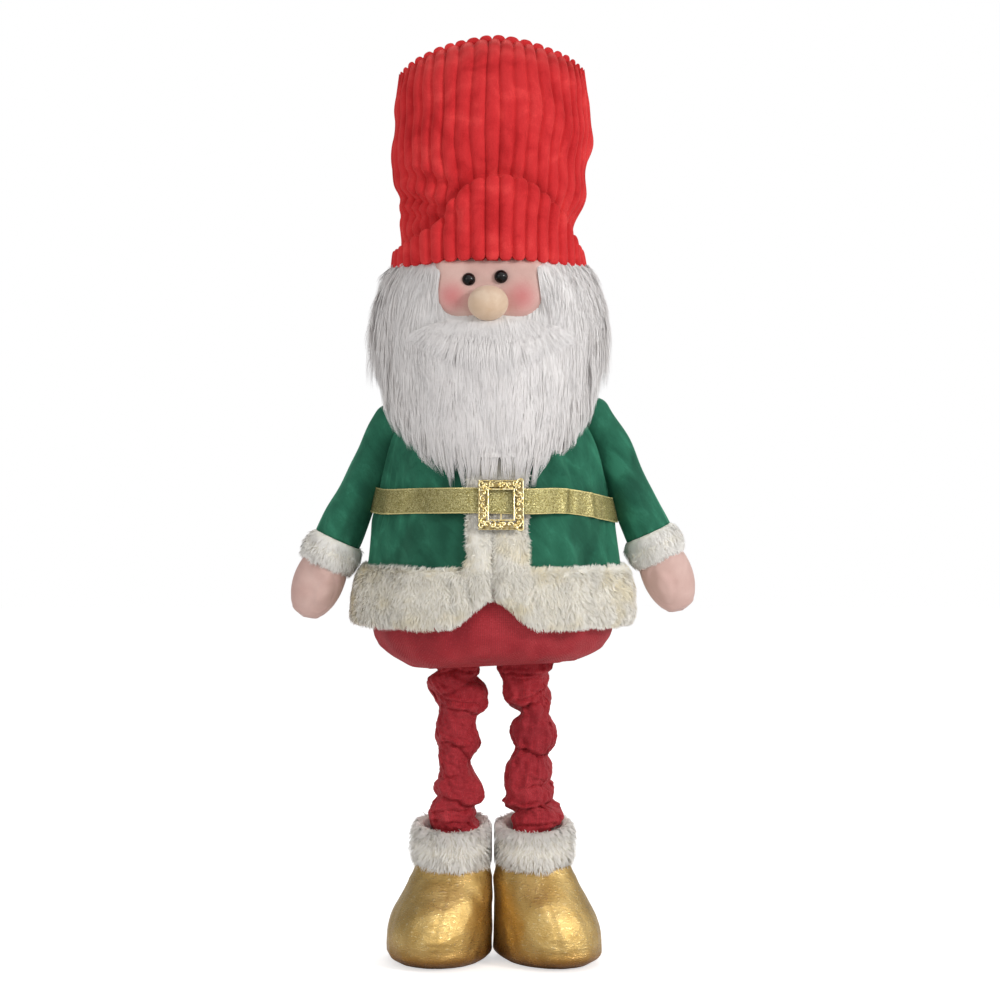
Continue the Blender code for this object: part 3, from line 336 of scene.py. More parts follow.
# light and dark patches where a pile lies over, with fine fibre in them
def napGroup():
    tree, given, out = startGroup(
        "nap",
        [
            ("Vector", "Vector", None),
            ("Patch", "Float", 0.03),
            ("Fibre", "Float", 0.0015),
            ("Deep", "Color", None),
            ("Base", "Color", None),
            ("Bright", "Color", None),
        ],
        [("Color", "Color"), ("Height", "Float")],
    )
    patchScale = calc(tree, "DIVIDE", 1.0, given["Patch"])
    fibreScale = calc(tree, "DIVIDE", 1.0, given["Fibre"])
    inputs = {"Vector": given["Vector"], "Scale": patchScale, "Detail": 3.0, "Distortion": 0.6}
    patch = put(tree, "TexNoise", inputs)
    fibre = put(tree, "TexNoise", {"Vector": given["Vector"], "Scale": fibreScale, "Detail": 2.0})
    fine = calc(tree, "MULTIPLY_ADD", fibre.outputs["Fac"], 0.24, -0.12)
    lie = calc(tree, "ADD", patch.outputs["Fac"], fine)
    dark = mixed(tree, between(tree, lie, 0.30, 0.52), given["Deep"], given["Base"])
    tree.links.new(mixed(tree, between(tree, lie, 0.50, 0.74), dark, given["Bright"]), out["Color"])
    tree.links.new(fibre.outputs["Fac"], out["Height"])
    return tree


# plain weave: threads pass over and under each other
def weaveGroup():
    tree, given, out = startGroup(
        "weave",
        [("Vector", "Vector", None), ("Thread", "Float", 0.001), ("Slub", "Float", 0.3)],
        [("Height", "Float"), ("Thread", "Float")],
    )
    slub = put(tree, "TexNoise", {"Vector": given["Vector"], "Scale": 160.0, "Detail": 2.0})
    shift = calc(tree, "MULTIPLY", slub.outputs["Fac"], given["Slub"])
    split = put(tree, "SeparateXYZ", {0: given["Vector"]})
    u = calc(tree, "ADD", calc(tree, "DIVIDE", split.outputs[0], given["Thread"]), shift)
    v = calc(tree, "ADD", calc(tree, "DIVIDE", split.outputs[1], given["Thread"]), shift)
    warp = calc(tree, "POWER", calc(tree, "ABSOLUTE", calc(tree, "SINE", calc(tree, "MULTIPLY", u, pi))), 0.6)
    weft = calc(tree, "POWER", calc(tree, "ABSOLUTE", calc(tree, "SINE", calc(tree, "MULTIPLY", v, pi))), 0.6)
    cell = calc(tree, "ADD", calc(tree, "FLOOR", u), calc(tree, "FLOOR", v))
    over = calc(tree, "FLOORED_MODULO", cell, 2.0)
    height = put(tree, "Mix", {0: over, 2: warp, 3: weft}).outputs[0]
    tree.links.new(height, out["Height"])
    thread = put(tree, "TexNoise", {"Vector": given["Vector"], "Scale": 420.0, "Detail": 3.0})
    tree.links.new(thread.outputs["Fac"], out["Thread"])
    return tree


nap = napGroup()
weave = weaveGroup()


def startMaterial(name, roughness=0.8, metallic=0.0, **shaderInputs):
    material = bpy.data.materials.new(name)
    material.use_nodes = True
    tree = material.node_tree
    shader = tree.nodes["Principled BSDF"]
    shader.inputs["Roughness"].default_value = roughness
    shader.inputs["Metallic"].default_value = metallic
    for label, value in shaderInputs.items():
        shader.inputs[label.replace("_", " ")].default_value = value
    spot = put(tree, "TexCoord").outputs["Object"]
    return material, tree, shader, spot


def wear(tree, shader, base=None, height=None, strength=0.4, distance=0.0004, roughness=None):
    if base is not None:
        tree.links.new(base, shader.inputs["Base Color"])
    if roughness is not None:
        tree.links.new(roughness, shader.inputs["Roughness"])
    if height is not None:
        relief = put(tree, "Bump", {"Height": height, "Strength": strength, "Distance": distance})
        tree.links.new(relief.outputs[0], shader.inputs["Normal"])


def clothSpot(tree):
    return put(tree, "UVMap", uv_map="cloth").outputs[0]


def corduroyFinish():
    material, tree, shader, spot = startMaterial(
        "red_corduroy_plush", 0.9, Sheen_Weight=0.5, Sheen_Roughness=0.45, Sheen_Tint=colour(255, 120, 110),
        Specular_IOR_Level=0.15,
    )
    pileTone = place(tree, nap, {
        "Vector": spot, "Patch": 0.030, "Fibre": 0.0013,
        "Deep": colour(194, 38, 42), "Base": colour(212, 50, 53), "Bright": colour(230, 68, 68),
    })
    streak = noise(tree, spot, 0.0022, stretch=(1.0, 1.0, 0.25))
    height = calc(tree, "ADD", pileTone["Height"], calc(tree, "MULTIPLY", streak, 0.5))
    wear(tree, shader, pileTone["Color"], height, 0.55, 0.0006)
    return material


def burlapFinish():
    material, tree, shader, spot = startMaterial(
        "red_burlap_cloth", 0.62, Sheen_Weight=0.25, Sheen_Roughness=0.5, Sheen_Tint=colour(255, 130, 130),
        Specular_IOR_Level=0.3,
    )
    threads = place(tree, weave, {"Vector": clothSpot(tree), "Thread": 0.0018, "Slub": 0.7})
    tone = place(tree, nap, {
        "Vector": spot, "Patch": 0.05, "Fibre": 0.0016,
        "Deep": colour(154, 28, 40), "Base": colour(178, 40, 50), "Bright": colour(198, 58, 66),
    })
    # the low parts of the weave are painted dark red: painted shade between the threads
    lit = mixed(tree, between(tree, threads["Height"], 0.20, 0.90), colour(122, 20, 30), tone["Color"])
    slubs = mixed(tree, between(tree, threads["Thread"], 0.56, 0.74, 0.0, 0.45), lit, colour(214, 84, 92))
    height = calc(tree, "ADD", threads["Height"], calc(tree, "MULTIPLY", threads["Thread"], 0.4))
    wear(tree, shader, slubs, height, 0.7, 0.0005)
    return material


def velvetFinish():
    material, tree, shader, spot = startMaterial(
        "green_velvet_cloth", 0.78, Sheen_Weight=0.55, Sheen_Roughness=0.35, Sheen_Tint=colour(120, 220, 180),
        Specular_IOR_Level=0.2,
    )
    leaned = put(tree, "VectorRotate", {"Vector": spot, "Axis": (0, 1, 0), "Angle": 0.65}).outputs[0]
    brushed = put(tree, "VectorMath", {0: leaned, 1: (1.0, 1.0, 0.38)}, operation="MULTIPLY").outputs[0]
    tone = place(tree, nap, {
        "Vector": brushed, "Patch": 0.018, "Fibre": 0.0012,
        "Deep": colour(28, 86, 66), "Base": colour(38, 101, 78), "Bright": colour(52, 122, 96),
    })
    # slanting bands of painted light and shade stand in for the lit and shaded sides of folds
    foldShadeSpot = put(tree, "VectorRotate", {"Vector": spot, "Axis": (0, 1, 0), "Angle": -0.35}).outputs[0]
    crease = noise(tree, foldShadeSpot, 0.055, 1.0, 0.4, stretch=(1.0, 1.0, 0.28))
    band = between(tree, crease, 0.47, 0.56, 0.80, 1.10)
    base = mixed(tree, 1.0, tone["Color"], greyOf(tree, band), "MULTIPLY")
    wear(tree, shader, base, tone["Height"], 0.3, 0.0004)
    return material


# for fibres: the tone attribute holds the share along the fibre and a random number for each
def pileFinish(name, shadedRootColour, bodyColour, tipColour, roughness=0.6, spread=0.16, specular=0.3, warm=None):
    material, tree, shader, spot = startMaterial(name, roughness, Specular_IOR_Level=specular)
    tone = toneOf(tree)
    # the colour runs from a darker root to a paler tip: painted shade deep in the pile
    body = mixed(tree, between(tree, tone[0], 0.0, 0.35), shadedRootColour, bodyColour)
    tip = mixed(tree, between(tree, tone[0], 0.45, 1.0), body, tipColour)
    patch = noise(tree, spot, 0.02, stretch=(1.0, 1.0, 0.4))
    if warm is not None:
        tip = mixed(tree, between(tree, noise(tree, spot, 0.035), 0.48, 0.70, 0.0, 0.8), tip, warm)
    level = calc(tree, "MULTIPLY_ADD", tone[1], spread, 1.0 - spread * 0.7)
    level = calc(tree, "MULTIPLY", level, between(tree, patch, 0.3, 0.7, 0.96, 1.02))
    wear(tree, shader, mixed(tree, 1.0, tip, greyOf(tree, level), "MULTIPLY"))
    return material


def backingFinish(name, base, shade):
    material, tree, shader, spot = startMaterial(name, 0.95)
    tone = mixed(tree, between(tree, noise(tree, spot, 0.004), 0.35, 0.65), shade, base)
    wear(tree, shader, tone, noise(tree, spot, 0.0015, stretch=(1.0, 1.0, 0.4)), 0.8, 0.001)
    return material


def skinFinish(name, blush=()):
    material, tree, shader, spot = startMaterial(
        name, 0.55, Sheen_Weight=0.15, Sheen_Roughness=0.5, Specular_IOR_Level=0.35, Subsurface_Weight=0.0,
    )
    tone = place(tree, nap, {
        "Vector": spot, "Patch": 0.03, "Fibre": 0.0010,
        "Deep": colour(209, 170, 160), "Base": colour(216, 180, 170), "Bright": colour(223, 189, 179),
    })
    base = tone["Color"]
    for centre, radius in blush:
        gone = put(tree, "VectorMath", {0: spot, 1: centre}, operation="DISTANCE").outputs["Value"]
        ragged = calc(tree, "MULTIPLY_ADD", tone["Height"], 0.006, -0.003)
        rouge = between(tree, calc(tree, "ADD", gone, ragged), 0.0, radius, 0.66, 0.0)
        base = mixed(tree, rouge, base, colour(202, 92, 98))
    knit = place(tree, weave, {"Vector": spot, "Thread": 0.0006, "Slub": 0.2})
    wear(tree, shader, base, knit["Height"], 0.12, 0.0002)
    return material


def feltFinish():
    material, tree, shader, spot = startMaterial(
        "nose_felt_wool", 0.95, Sheen_Weight=0.3, Sheen_Roughness=0.6,
    )
    tone = place(tree, nap, {
        "Vector": spot, "Patch": 0.018, "Fibre": 0.0009,
        "Deep": colour(218, 186, 154), "Base": colour(223, 193, 164), "Bright": colour(230, 204, 178),
    })
    wear(tree, shader, tone["Color"], tone["Height"], 0.6, 0.0007)
    return material


def beadFinish():
    material, tree, shader, spot = startMaterial(
        "black_glass_bead", 0.08, Specular_IOR_Level=0.22, Coat_Weight=0.15, Coat_Roughness=0.04,
    )
    smear = between(tree, noise(tree, spot, 0.004), 0.4, 0.7)
    base = mixed(tree, smear, colour(4, 4, 5), colour(12, 11, 13))
    wear(tree, shader, base, roughness=between(tree, smear, 0.0, 1.0, 0.06, 0.12))
    return material


def ribbonFinish():
    material, tree, shader = startMaterial("gold_lurex_ribbon", 0.42, 0.75)[:3]
    cloth = clothSpot(tree)
    glints = put(tree, "TexVoronoi", {"Vector": cloth, "Scale": 1500.0})
    split = put(tree, "SeparateColor", {0: glints.outputs["Color"]})
    threads = place(tree, weave, {"Vector": cloth, "Thread": 0.0007, "Slub": 0.1})
    base = mixed(tree, between(tree, split.outputs[0], 0.2, 0.9), colour(150, 138, 76), colour(224, 214, 156))
    # the low parts of the weave are painted darker: painted shade between the threads
    base = mixed(tree, between(tree, threads["Height"], 0.2, 0.7), colour(122, 112, 58), base)
    shade = between(tree, noise(tree, cloth, 0.03, 2.0, stretch=(1.0, 0.05, 1.0)), 0.35, 0.65, 0.72, 1.0)
    base = mixed(tree, 1.0, base, greyOf(tree, shade), "MULTIPLY")
    edge = put(tree, "SeparateXYZ", {0: cloth}).outputs[1]
    low = between(tree, edge, 0.0008, 0.0014, 1.0, 0.0)
    high = between(tree, edge, 2 * beltHalf - 0.0014, 2 * beltHalf - 0.0008)
    base = mixed(tree, calc(tree, "MAXIMUM", low, high), base, colour(244, 228, 160))
    height = calc(tree, "ADD", threads["Height"], calc(tree, "MULTIPLY", split.outputs[1], 0.8))
    wear(tree, shader, base, height, 0.6, 0.0003, between(tree, split.outputs[2], 0.0, 1.0, 0.25, 0.6))
    return material


def buckleFinish():
    material, tree, shader, spot = startMaterial("cast_gold_buckle", 0.2, 1.0)
    worn = noise(tree, spot, 0.0025, 4.0)
    relief = toneOf(tree)[0]
    base = mixed(tree, between(tree, worn, 0.36, 0.62), colour(214, 188, 118), colour(250, 238, 190))
    base = mixed(tree, between(tree, relief, 0.25, 0.80), colour(84, 62, 26), base)
    wear(tree, shader, base, worn, 0.25, 0.0003, between(tree, worn, 0.3, 0.7, 0.26, 0.12))
    return material


def lameFinish():
    material, tree, shader, spot = startMaterial("gold_lame_cloth", 0.4, 0.85)
    flakesAndGlints = noise(tree, spot, 0.0022, 3.0, 0.7, stretch=(0.55, 0.55, 1.5))
    fine = noise(tree, spot, 0.0007, 2.0)
    patch = noise(tree, spot, 0.02)
    base = mixed(tree, between(tree, patch, 0.3, 0.7), colour(196, 160, 92), colour(214, 182, 116))
    # near-white flecks on the flakes are painted glints of light; the flakes also give the bumps and
    # roughness
    base = mixed(tree, between(tree, flakesAndGlints, 0.56, 0.74, 0.0, 0.55), base, colour(250, 236, 190))
    height = put(tree, "SeparateXYZ", {0: spot}).outputs[2]
    base = mixed(tree, between(tree, height, 0.003, 0.026, 0.90, 0.0), base, colour(150, 98, 34))
    relief = calc(tree, "ADD", flakesAndGlints, calc(tree, "MULTIPLY", fine, 0.3))
    wear(tree, shader, base, relief, 0.75, 0.0011, between(tree, flakesAndGlints, 0.3, 0.7, 0.42, 0.24))
    return material


def metalFinish(name, base, dull, roughness):
    material, tree, shader, spot = startMaterial(name, roughness, 1.0)
    brushed = noise(tree, spot, 0.004, 4.0, stretch=(1.0, 1.0, 0.1))
    tone = mixed(tree, between(tree, brushed, 0.35, 0.65), dull, base)
    gloss = between(tree, brushed, 0.3, 0.7, roughness + 0.1, roughness - 0.05)
    wear(tree, shader, tone, brushed, 0.1, 0.0001, gloss)
    return material


def plasticFinish():
    material, tree, shader, spot = startMaterial("moulded_black_plastic", 0.5)
    grain = noise(tree, spot, 0.0008)
    wear(tree, shader, mixed(tree, grain, colour(30, 30, 33), colour(46, 46, 50)), grain, 0.2, 0.0001)
    return material


def woodFinish():
    material, tree, shader, spot = startMaterial("hip_board_plywood", 0.7)
    grain = noise(tree, spot, 0.006, 5.0, stretch=(0.12, 1.0, 1.0))
    tone = mixed(tree, between(tree, grain, 0.35, 0.65), colour(170, 130, 88), colour(206, 172, 128))
    wear(tree, shader, tone, grain, 0.2, 0.0002)
    return material


print("materials")
corduroy = corduroyFinish()
burlap = burlapFinish()
velvet = velvetFinish()
creamPile = pileFinish(
    "cream_plush_pile", colour(246, 240, 226), colour(250, 246, 236), colour(252, 249, 242), 0.9, 0.03,
    warm=colour(246, 236, 208),
)
whitePlush = pileFinish(
    "white_plush_pile", colour(248, 244, 236), colour(252, 249, 243), colour(253, 251, 247), 0.9, 0.03,
)
longPile = pileFinish(
    "white_long_pile", colour(246, 241, 238), colour(248, 244, 242), colour(250, 247, 246), 0.55, 0.03,
)
creamBack = backingFinish("cream_plush_backing", colour(250, 246, 236), colour(246, 241, 229))
longBack = backingFinish("long_pile_backing", colour(247, 243, 241), colour(240, 235, 233))
faceSkin = skinFinish("face_cloth", (
    ((-0.040, -0.086, headMiddle + 0.0005), 0.024),
    ((0.028, -0.086, headMiddle), 0.026),
))
handSkin = skinFinish("hand_cloth")
felt = feltFinish()
bead = beadFinish()
lurex = ribbonFinish()
castGold = buckleFinish()
lame = lameFinish()
steel = metalFinish("brushed_tube_steel", colour(196, 198, 202), colour(160, 162, 168), 0.3)
plastic = plasticFinish()
plywood = woodFinish()


# Coat
coatSizes = dict(
    hemHalf=0.132, waistHalf=0.1165, chestHalf=0.097, shoulderHalf=0.083, neckHalf=0.053,
    depthRatio=0.82, cloth=0.0014, opening=0.0015, foldDepth=0.0034, notchRise=0.028, notchHalf=0.044,
    beltPinch=0.0016,
)
coatOutline = (
    (0.00, coatSizes["hemHalf"]), (0.52, coatSizes["waistHalf"]), (0.82, coatSizes["chestHalf"]),
    (0.92, coatSizes["shoulderHalf"]), (1.00, coatSizes["neckHalf"]),
)


def coatHalf(height):
    return curveThrough(coatOutline, (height - hemBottom) / (coatTop - hemBottom))


# how far the cloth stands off its smooth outline. turn starts at the front and grows towards +X
def coatFolds(turn, height):
    below = smooth(0.0, 1.0, (beltMiddle - height) / (beltMiddle - hemBottom))
    turn = np.mod(turn + pi, 2 * pi) - pi
    calm = smooth(0.25, 0.7, np.abs(np.sin(turn / 2)))
    spot = stack(turn * 0.12, 0.0 * turn, height * 0.35)
    folds = coatSizes["foldDepth"] * below * calm * np.cos(7 * turn + 1.3 * np.sin(2 * turn))
    folds += 0.0085 * below * bump(1.28, 0.20, turn) - 0.0050 * below * bump(1.72, 0.16, turn)
    soon = smooth(0.10, 0.50, (beltMiddle - height) / (beltMiddle - hemBottom))
    folds += soon * (0.0075 * bump(0.62, 0.08, turn) - 0.0060 * bump(0.84, 0.08, turn))
    over = height - beltMiddle - beltHalf
    upper = smooth(-0.004, 0.018, over) * (1 - smooth(0.045, 0.095, over))
    lean = turn + 2.2 * over
    chest = 0.0075 * bump(0.64, 0.08, lean) - 0.0055 * bump(0.84, 0.08, lean)
    folds += upper * (chest + 0.0040 * bump(-0.80, 0.10, turn - over))
    folds += soon * (0.0030 * bump(-0.62, 0.10, turn) - 0.0030 * bump(-0.85, 0.09, turn))
    folds += 0.0018 * wobble(spot, 0.05, 5) * smooth(0.10, 0.35, np.abs(turn))
    away = np.abs(height - beltMiddle) / beltHalf
    gathers = 0.0009 * np.cos(46 * turn + 2 * np.sin(5 * turn)) * bump(1.5, 0.8, away)
    return folds + gathers * smooth(0.3, 0.5, np.abs(turn)) - coatSizes["beltPinch"] * bump(0, 1.1, away)


def coatPoint(turn, height, out=0.0, folded=True):
    wide = coatHalf(height)
    deep = wide * coatSizes["depthRatio"]
    if folded:
        out = out + coatFolds(turn, height)
    aheadX, aheadY = np.sin(turn) / wide, -np.cos(turn) / deep
    length = np.sqrt(aheadX**2 + aheadY**2)
    x = wide * np.sin(turn) + out * aheadX / length
    y = -deep * np.cos(turn) + out * aheadY / length
    return stack(x, y, height)


# the hem rises to a notch at the front opening
def hemEdge(turn):
    across = coatSizes["hemHalf"] * np.sin(turn)
    front = np.cos(turn) > 0
    rise = coatSizes["notchRise"] * (1 - smooth(0, coatSizes["notchHalf"], np.abs(across)))
    return hemBottom + np.where(front, rise, 0)


def frontTurn(across, height):
    return np.arcsin(np.clip(across / coatHalf(height), -1, 1))


def openTurn(u):
    edge = coatSizes["opening"] / coatSizes["waistHalf"]
    return edge + u * (2 * pi - 2 * edge)


def makeCoat():
    def at(u, v):
        turn = openTurn(u)
        low = hemEdge(turn) + 0.004
        return coatPoint(turn, low + (coatTop - low) * v)

    coat = surface("coat_velvet", at, 240, 52, velvet, around=False, cloth=(0.78, 0.24), closed=False)
    solidify(coat, coatSizes["cloth"])
    settle(coat, "figure", "green_velvet", "coat")
    return coat


# Stuffed body under the coat
bodySizes = dict(
    outline=((0.0, 0.70), (0.02, 0.82), (0.065, 0.92), (0.14, 0.984), (0.24, 1.0), (0.38, 0.98)),
    half=0.1225, room=0.0030,
)


def makeBody():
    poleX = middleX("right_upper_tube")

    def at(u, v):
        turn = 2 * pi * u
        share = np.where(v < 0.5, 0.38 * (v / 0.5) ** 1.5, 0.38 + (v - 0.5) / 0.5 * 0.61)
        height = bodyBottom + share * (bodyTop - bodyBottom)
        room = bodySizes["room"] + 0.0050 * smooth(0.22, 0.38, share)
        inside = coatPoint(turn, height, -coatSizes["cloth"] - room, folded=False)
        wide = bodySizes["half"] * curveThrough(bodySizes["outline"], np.minimum(share, 0.38))
        shrink = np.where(share < 0.38, np.minimum(1.0, wide / (coatHalf(height) - 0.005)), 1.0)
        x, y = inside[:, 0] * shrink, inside[:, 1] * shrink
        # puckers run up from the seams round the legs
        lower = 1 - smooth(0.0, 0.16, share)
        ripple = np.zeros_like(x)
        for side in sides.values():
            near = bump(side * poleX, 0.036, x) * (y < 0)
            ripple += near * np.cos(side * 9 * turn / 0.42 + 1.2 * side)
        ripple += 0.8 * wobble(stack(x, y, height * 0.4), 0.045, 11)
        grow = 1 + 0.032 * lower * ripple
        sag = (0.0030 - 0.0080 * bump(-0.066, 0.034, x) - 0.0020 * bump(0.055, 0.03, x)) * (y < 0.02)
        return stack(x * grow, y * grow, height + lower * (0.0026 * ripple * smooth(0.0, 0.03, share) + sag))

    body = surface("stuffed_body", at, 204, 72, burlap, caps=True, cloth=(0.76, 0.27))
    settle(body, "figure", "red_burlap", "torso")


# Pile trims on the coat, cuffs and boots
# short plush fibres from roots at(u, v) with their normals, lying over towards flow
def shortPile(name, at, normals, count, s, material, flow):
    rng = np.random.default_rng(s["seed"])
    u, v = rng.random(count), rng.random(count)
    roots, out = at(u, v), normals(u, v)
    lie = flow(u, v)
    lie = unit(lie - out * np.sum(lie * out, axis=1, keepdims=True))
    swirl = stack(*(wobble(roots, 0.018, s["seed"] + i) for i in (1, 2, 3)))
    lie = unit(lie + rng.normal(0, s["stray"], lie.shape) + 0.3 * swirl)
    lie = unit(lie - out * np.sum(lie * out, axis=1, keepdims=True) * 0.9)
    length = s["length"] * rng.uniform(0.65, 1.25, count)[:, None]
    length *= 1 + 0.15 * wobble(roots, 0.02, s["seed"] + 4)[:, None]
    steps = 3
    paths = [roots]
    for i in range(steps - 1):
        t = (i + 0.5) / (steps - 1)
        rise = s["lift"] * (1 - t) + s["tipLift"] * t
        way = unit(out * rise + lie * (0.25 + 0.75 * t) + s["drop"] * t * np.array([0, 0, -1]))
        paths.append(paths[-1] + way * length / (steps - 1))
    paths = np.stack(paths, axis=1)
    paths = clumped(paths, rng, s["tuft"], s["tuftPull"])
    if "side" in s:  # the pile of one leg never reaches over to the other
        paths[..., 0] = s["side"] * np.maximum(s["side"] * paths[..., 0], 0.0010)
    width = s["width"] * rng.uniform(0.7, 1.2, count)
    return strands(name, paths, np.cross(out, lie), width, material, rng, roll=0.3, soft=1.0, edge=0.04)


# outward normals of a surface, from its points close by
def slopes(at, u, v, around=1e-4):
    du = at(u + around, v) - at(u - around, v)
    dv = at(u, v + around) - at(u, v - around)
    return unit(np.cross(du, dv))


def ringSection(v, inner, outer, middle, halfTall):
    # radius and height round the section of a plush ring
    arc = 2 * pi * v
    radius = (inner + outer) / 2 + (outer - inner) / 2 * bent(np.cos(arc), 0.8)
    return radius, middle + halfTall * bent(np.sin(arc), 0.7)


def ringNormals(ring, u, v):
    around = slopes(ring, u, v)
    centre = ring(u, 0 * v) * 0.5 + ring(u, 0 * v + 0.5) * 0.5
    inward = np.sum(around * (ring(u, v) - centre), axis=1, keepdims=True) < 0
    return around * np.where(inward, -1, 1)


plushSizes = dict(
    length=0.0062, width=0.0011, lift=0.55, tipLift=0.30, drop=0.15, stray=0.24, tuft=12, tuftPull=0.2,
)


def makeHemTrim():
    s = dict(plushSizes, seed=21, fibres=33000, thickness=0.0115, pile=0.0030)

    def at(u, v, out=0.0):
        turn = openTurn(u)
        low = hemEdge(turn)
        arc = pi * v
        height = low + (hemTop - low) * (0.5 - 0.5 * np.cos(arc))
        edge = np.minimum(u, 1 - u) * 0.75
        full = np.sqrt(np.clip(1 - (1 - np.clip(edge / 0.008, 0, 1)) ** 2, 0.05, 1))
        across = coatSizes["hemHalf"] * np.sin(turn) + 0.2 * (height - low)
        for middle in (-0.033, -0.019, 0.022, 0.045):
            full = full - 0.30 * bump(middle, 0.0022, across) * np.sin(arc) * (np.cos(turn) > 0)
        thick = (s["thickness"] - s["pile"]) * np.sin(arc) ** 0.6 * full
        return coatPoint(turn, height, 0.0006 + thick + out)

    def flow(u, v):
        turn = openTurn(u)
        clear = smooth(0.028, 0.044, np.abs(coatSizes["hemHalf"] * np.sin(turn)))
        up = smooth(0.80, 0.95, v) * np.where(np.cos(turn) > 0, clear, 1)
        return stack(0.25 * np.cos(turn), 0.25 * np.sin(turn), -1 + 2.0 * up)

    def outward(u, v):
        return slopes(at, u, np.clip(v, 0.02, 0.98))

    back = surface("hem_backing", at, 260, 14, creamBack, around=False, cloth=(0.8, 0.06), closed=False)
    settle(back, "figure", "cream_plush")
    trim = shortPile("hem_plush", at, outward, s["fibres"], s, creamPile, flow)
    settle(trim, "figure", "cream_plush", "hem_trim")


def makeFrontTrims():
    s = dict(
        plushSizes, stray=0.42, tuftPull=0.35, seed=31, fibres=8000, wide={"left": 0.0225, "right": 0.0310},
        flare=0.010, thickness=0.0105, pressed=0.0045, pile=0.0030,
    )
    low, high = nodeBox("right_front_trim")
    bottom, top = low[2] - 0.016, high[2] + 0.010
    reach = (buckleHigh[2] - buckleLow[2]) / 2 + 0.004

    for side, sign in sides.items():
        def at(u, v, out=0.0):
            arc = pi * v
            height = bottom + (top - bottom) * u
            flare = s["flare"] * (1 - smooth(0.0, 0.18, u))
            across = sign * (0.0007 + (s["wide"][side] + flare) * (0.5 - 0.5 * np.cos(arc)))
            far = smooth(reach - 0.004, reach + 0.012, np.abs(height - beltMiddle))
            thick = s["pressed"] + far * (s["thickness"] - s["pressed"])
            full = np.maximum(thick - s["pile"] * (0.35 + 0.65 * far), 0.0012)
            rise = full * np.sin(arc) ** 0.5 * smooth(-0.06, 0.05, u)
            return coatPoint(frontTurn(across, height), height, 0.0006 + rise + out, folded=False)

        def flow(u, v):
            return stack(sign * (0.9 * smooth(0.55, 0.95, v) - 0.25), 0 * u, -1 + 0 * u)

        def outward(u, v):
            found = slopes(at, u, np.clip(v, 0.02, 0.98))
            return found * np.where(found[:, 1:2] > 0, -1, 1)

        back = surface(side + "_front_backing", at, 60, 10, creamBack, around=False, cloth=(0.15, 0.03),
                       closed=False)
        settle(back, "figure", "cream_plush")
        own = dict(s, seed=s["seed"] + (0 if sign < 0 else 7))
        trim = shortPile(side + "_front_plush", at, outward, s["fibres"], own, creamPile, flow)
        settle(trim, "figure", "cream_plush", side + "_front_trim")


# Belt and buckle
def beltPoint(turn, height, out=0.0):
    base = coatPoint(turn, height, out + 0.0006, folded=False)
    frontY = -(coatHalf(height) * coatSizes["depthRatio"] + 0.0077) - out
    edge = 0.032
    over = (1 - smooth(edge, edge + 0.045, np.abs(base[:, 0]))) * (np.cos(turn) > 0)
    base[:, 1] += over * (frontY - base[:, 1])
    return base


def makeBelt():
    def at(u, v):
        turn = 2 * pi * u - pi
        spot = stack(turn * 0.1, 0 * turn, 0 * turn)
        sag = -0.0105 * smooth(0.5, 1.5, turn) - 0.001 * wobble(spot, 0.08, 3)
        height = beltMiddle + (2 * v - 1) * beltHalf + sag * (np.cos(turn) > -0.2)
        clear = 0.0030 * smooth(0.7, 1.1, np.abs(turn)) * (np.cos(turn) > -0.9)
        fold = 0.0042 * bump(0.60 + 0.06 * v, 0.030, turn)
        fold = fold - 0.0012 * bump(0.70 + 0.05 * v, 0.03, turn) + clear
        fold += 0.0034 * bump(0.90 + 0.03 * v, 0.035, turn) + 0.0012 * bump(-0.62, 0.10, turn)
        ripple = 0.0004 * np.sin(23 * turn + 2 * v) * smooth(0.35, 0.6, np.abs(turn))
        return beltPoint(turn, height, 0.0004 + fold + ripple)

    belt = surface("belt_ribbon", at, 320, 10, lurex, cloth=(0.70, 2 * beltHalf), closed=False)
    solidify(belt, 0.0005)
    settle(belt, "figure", "gold_ribbon", "belt")


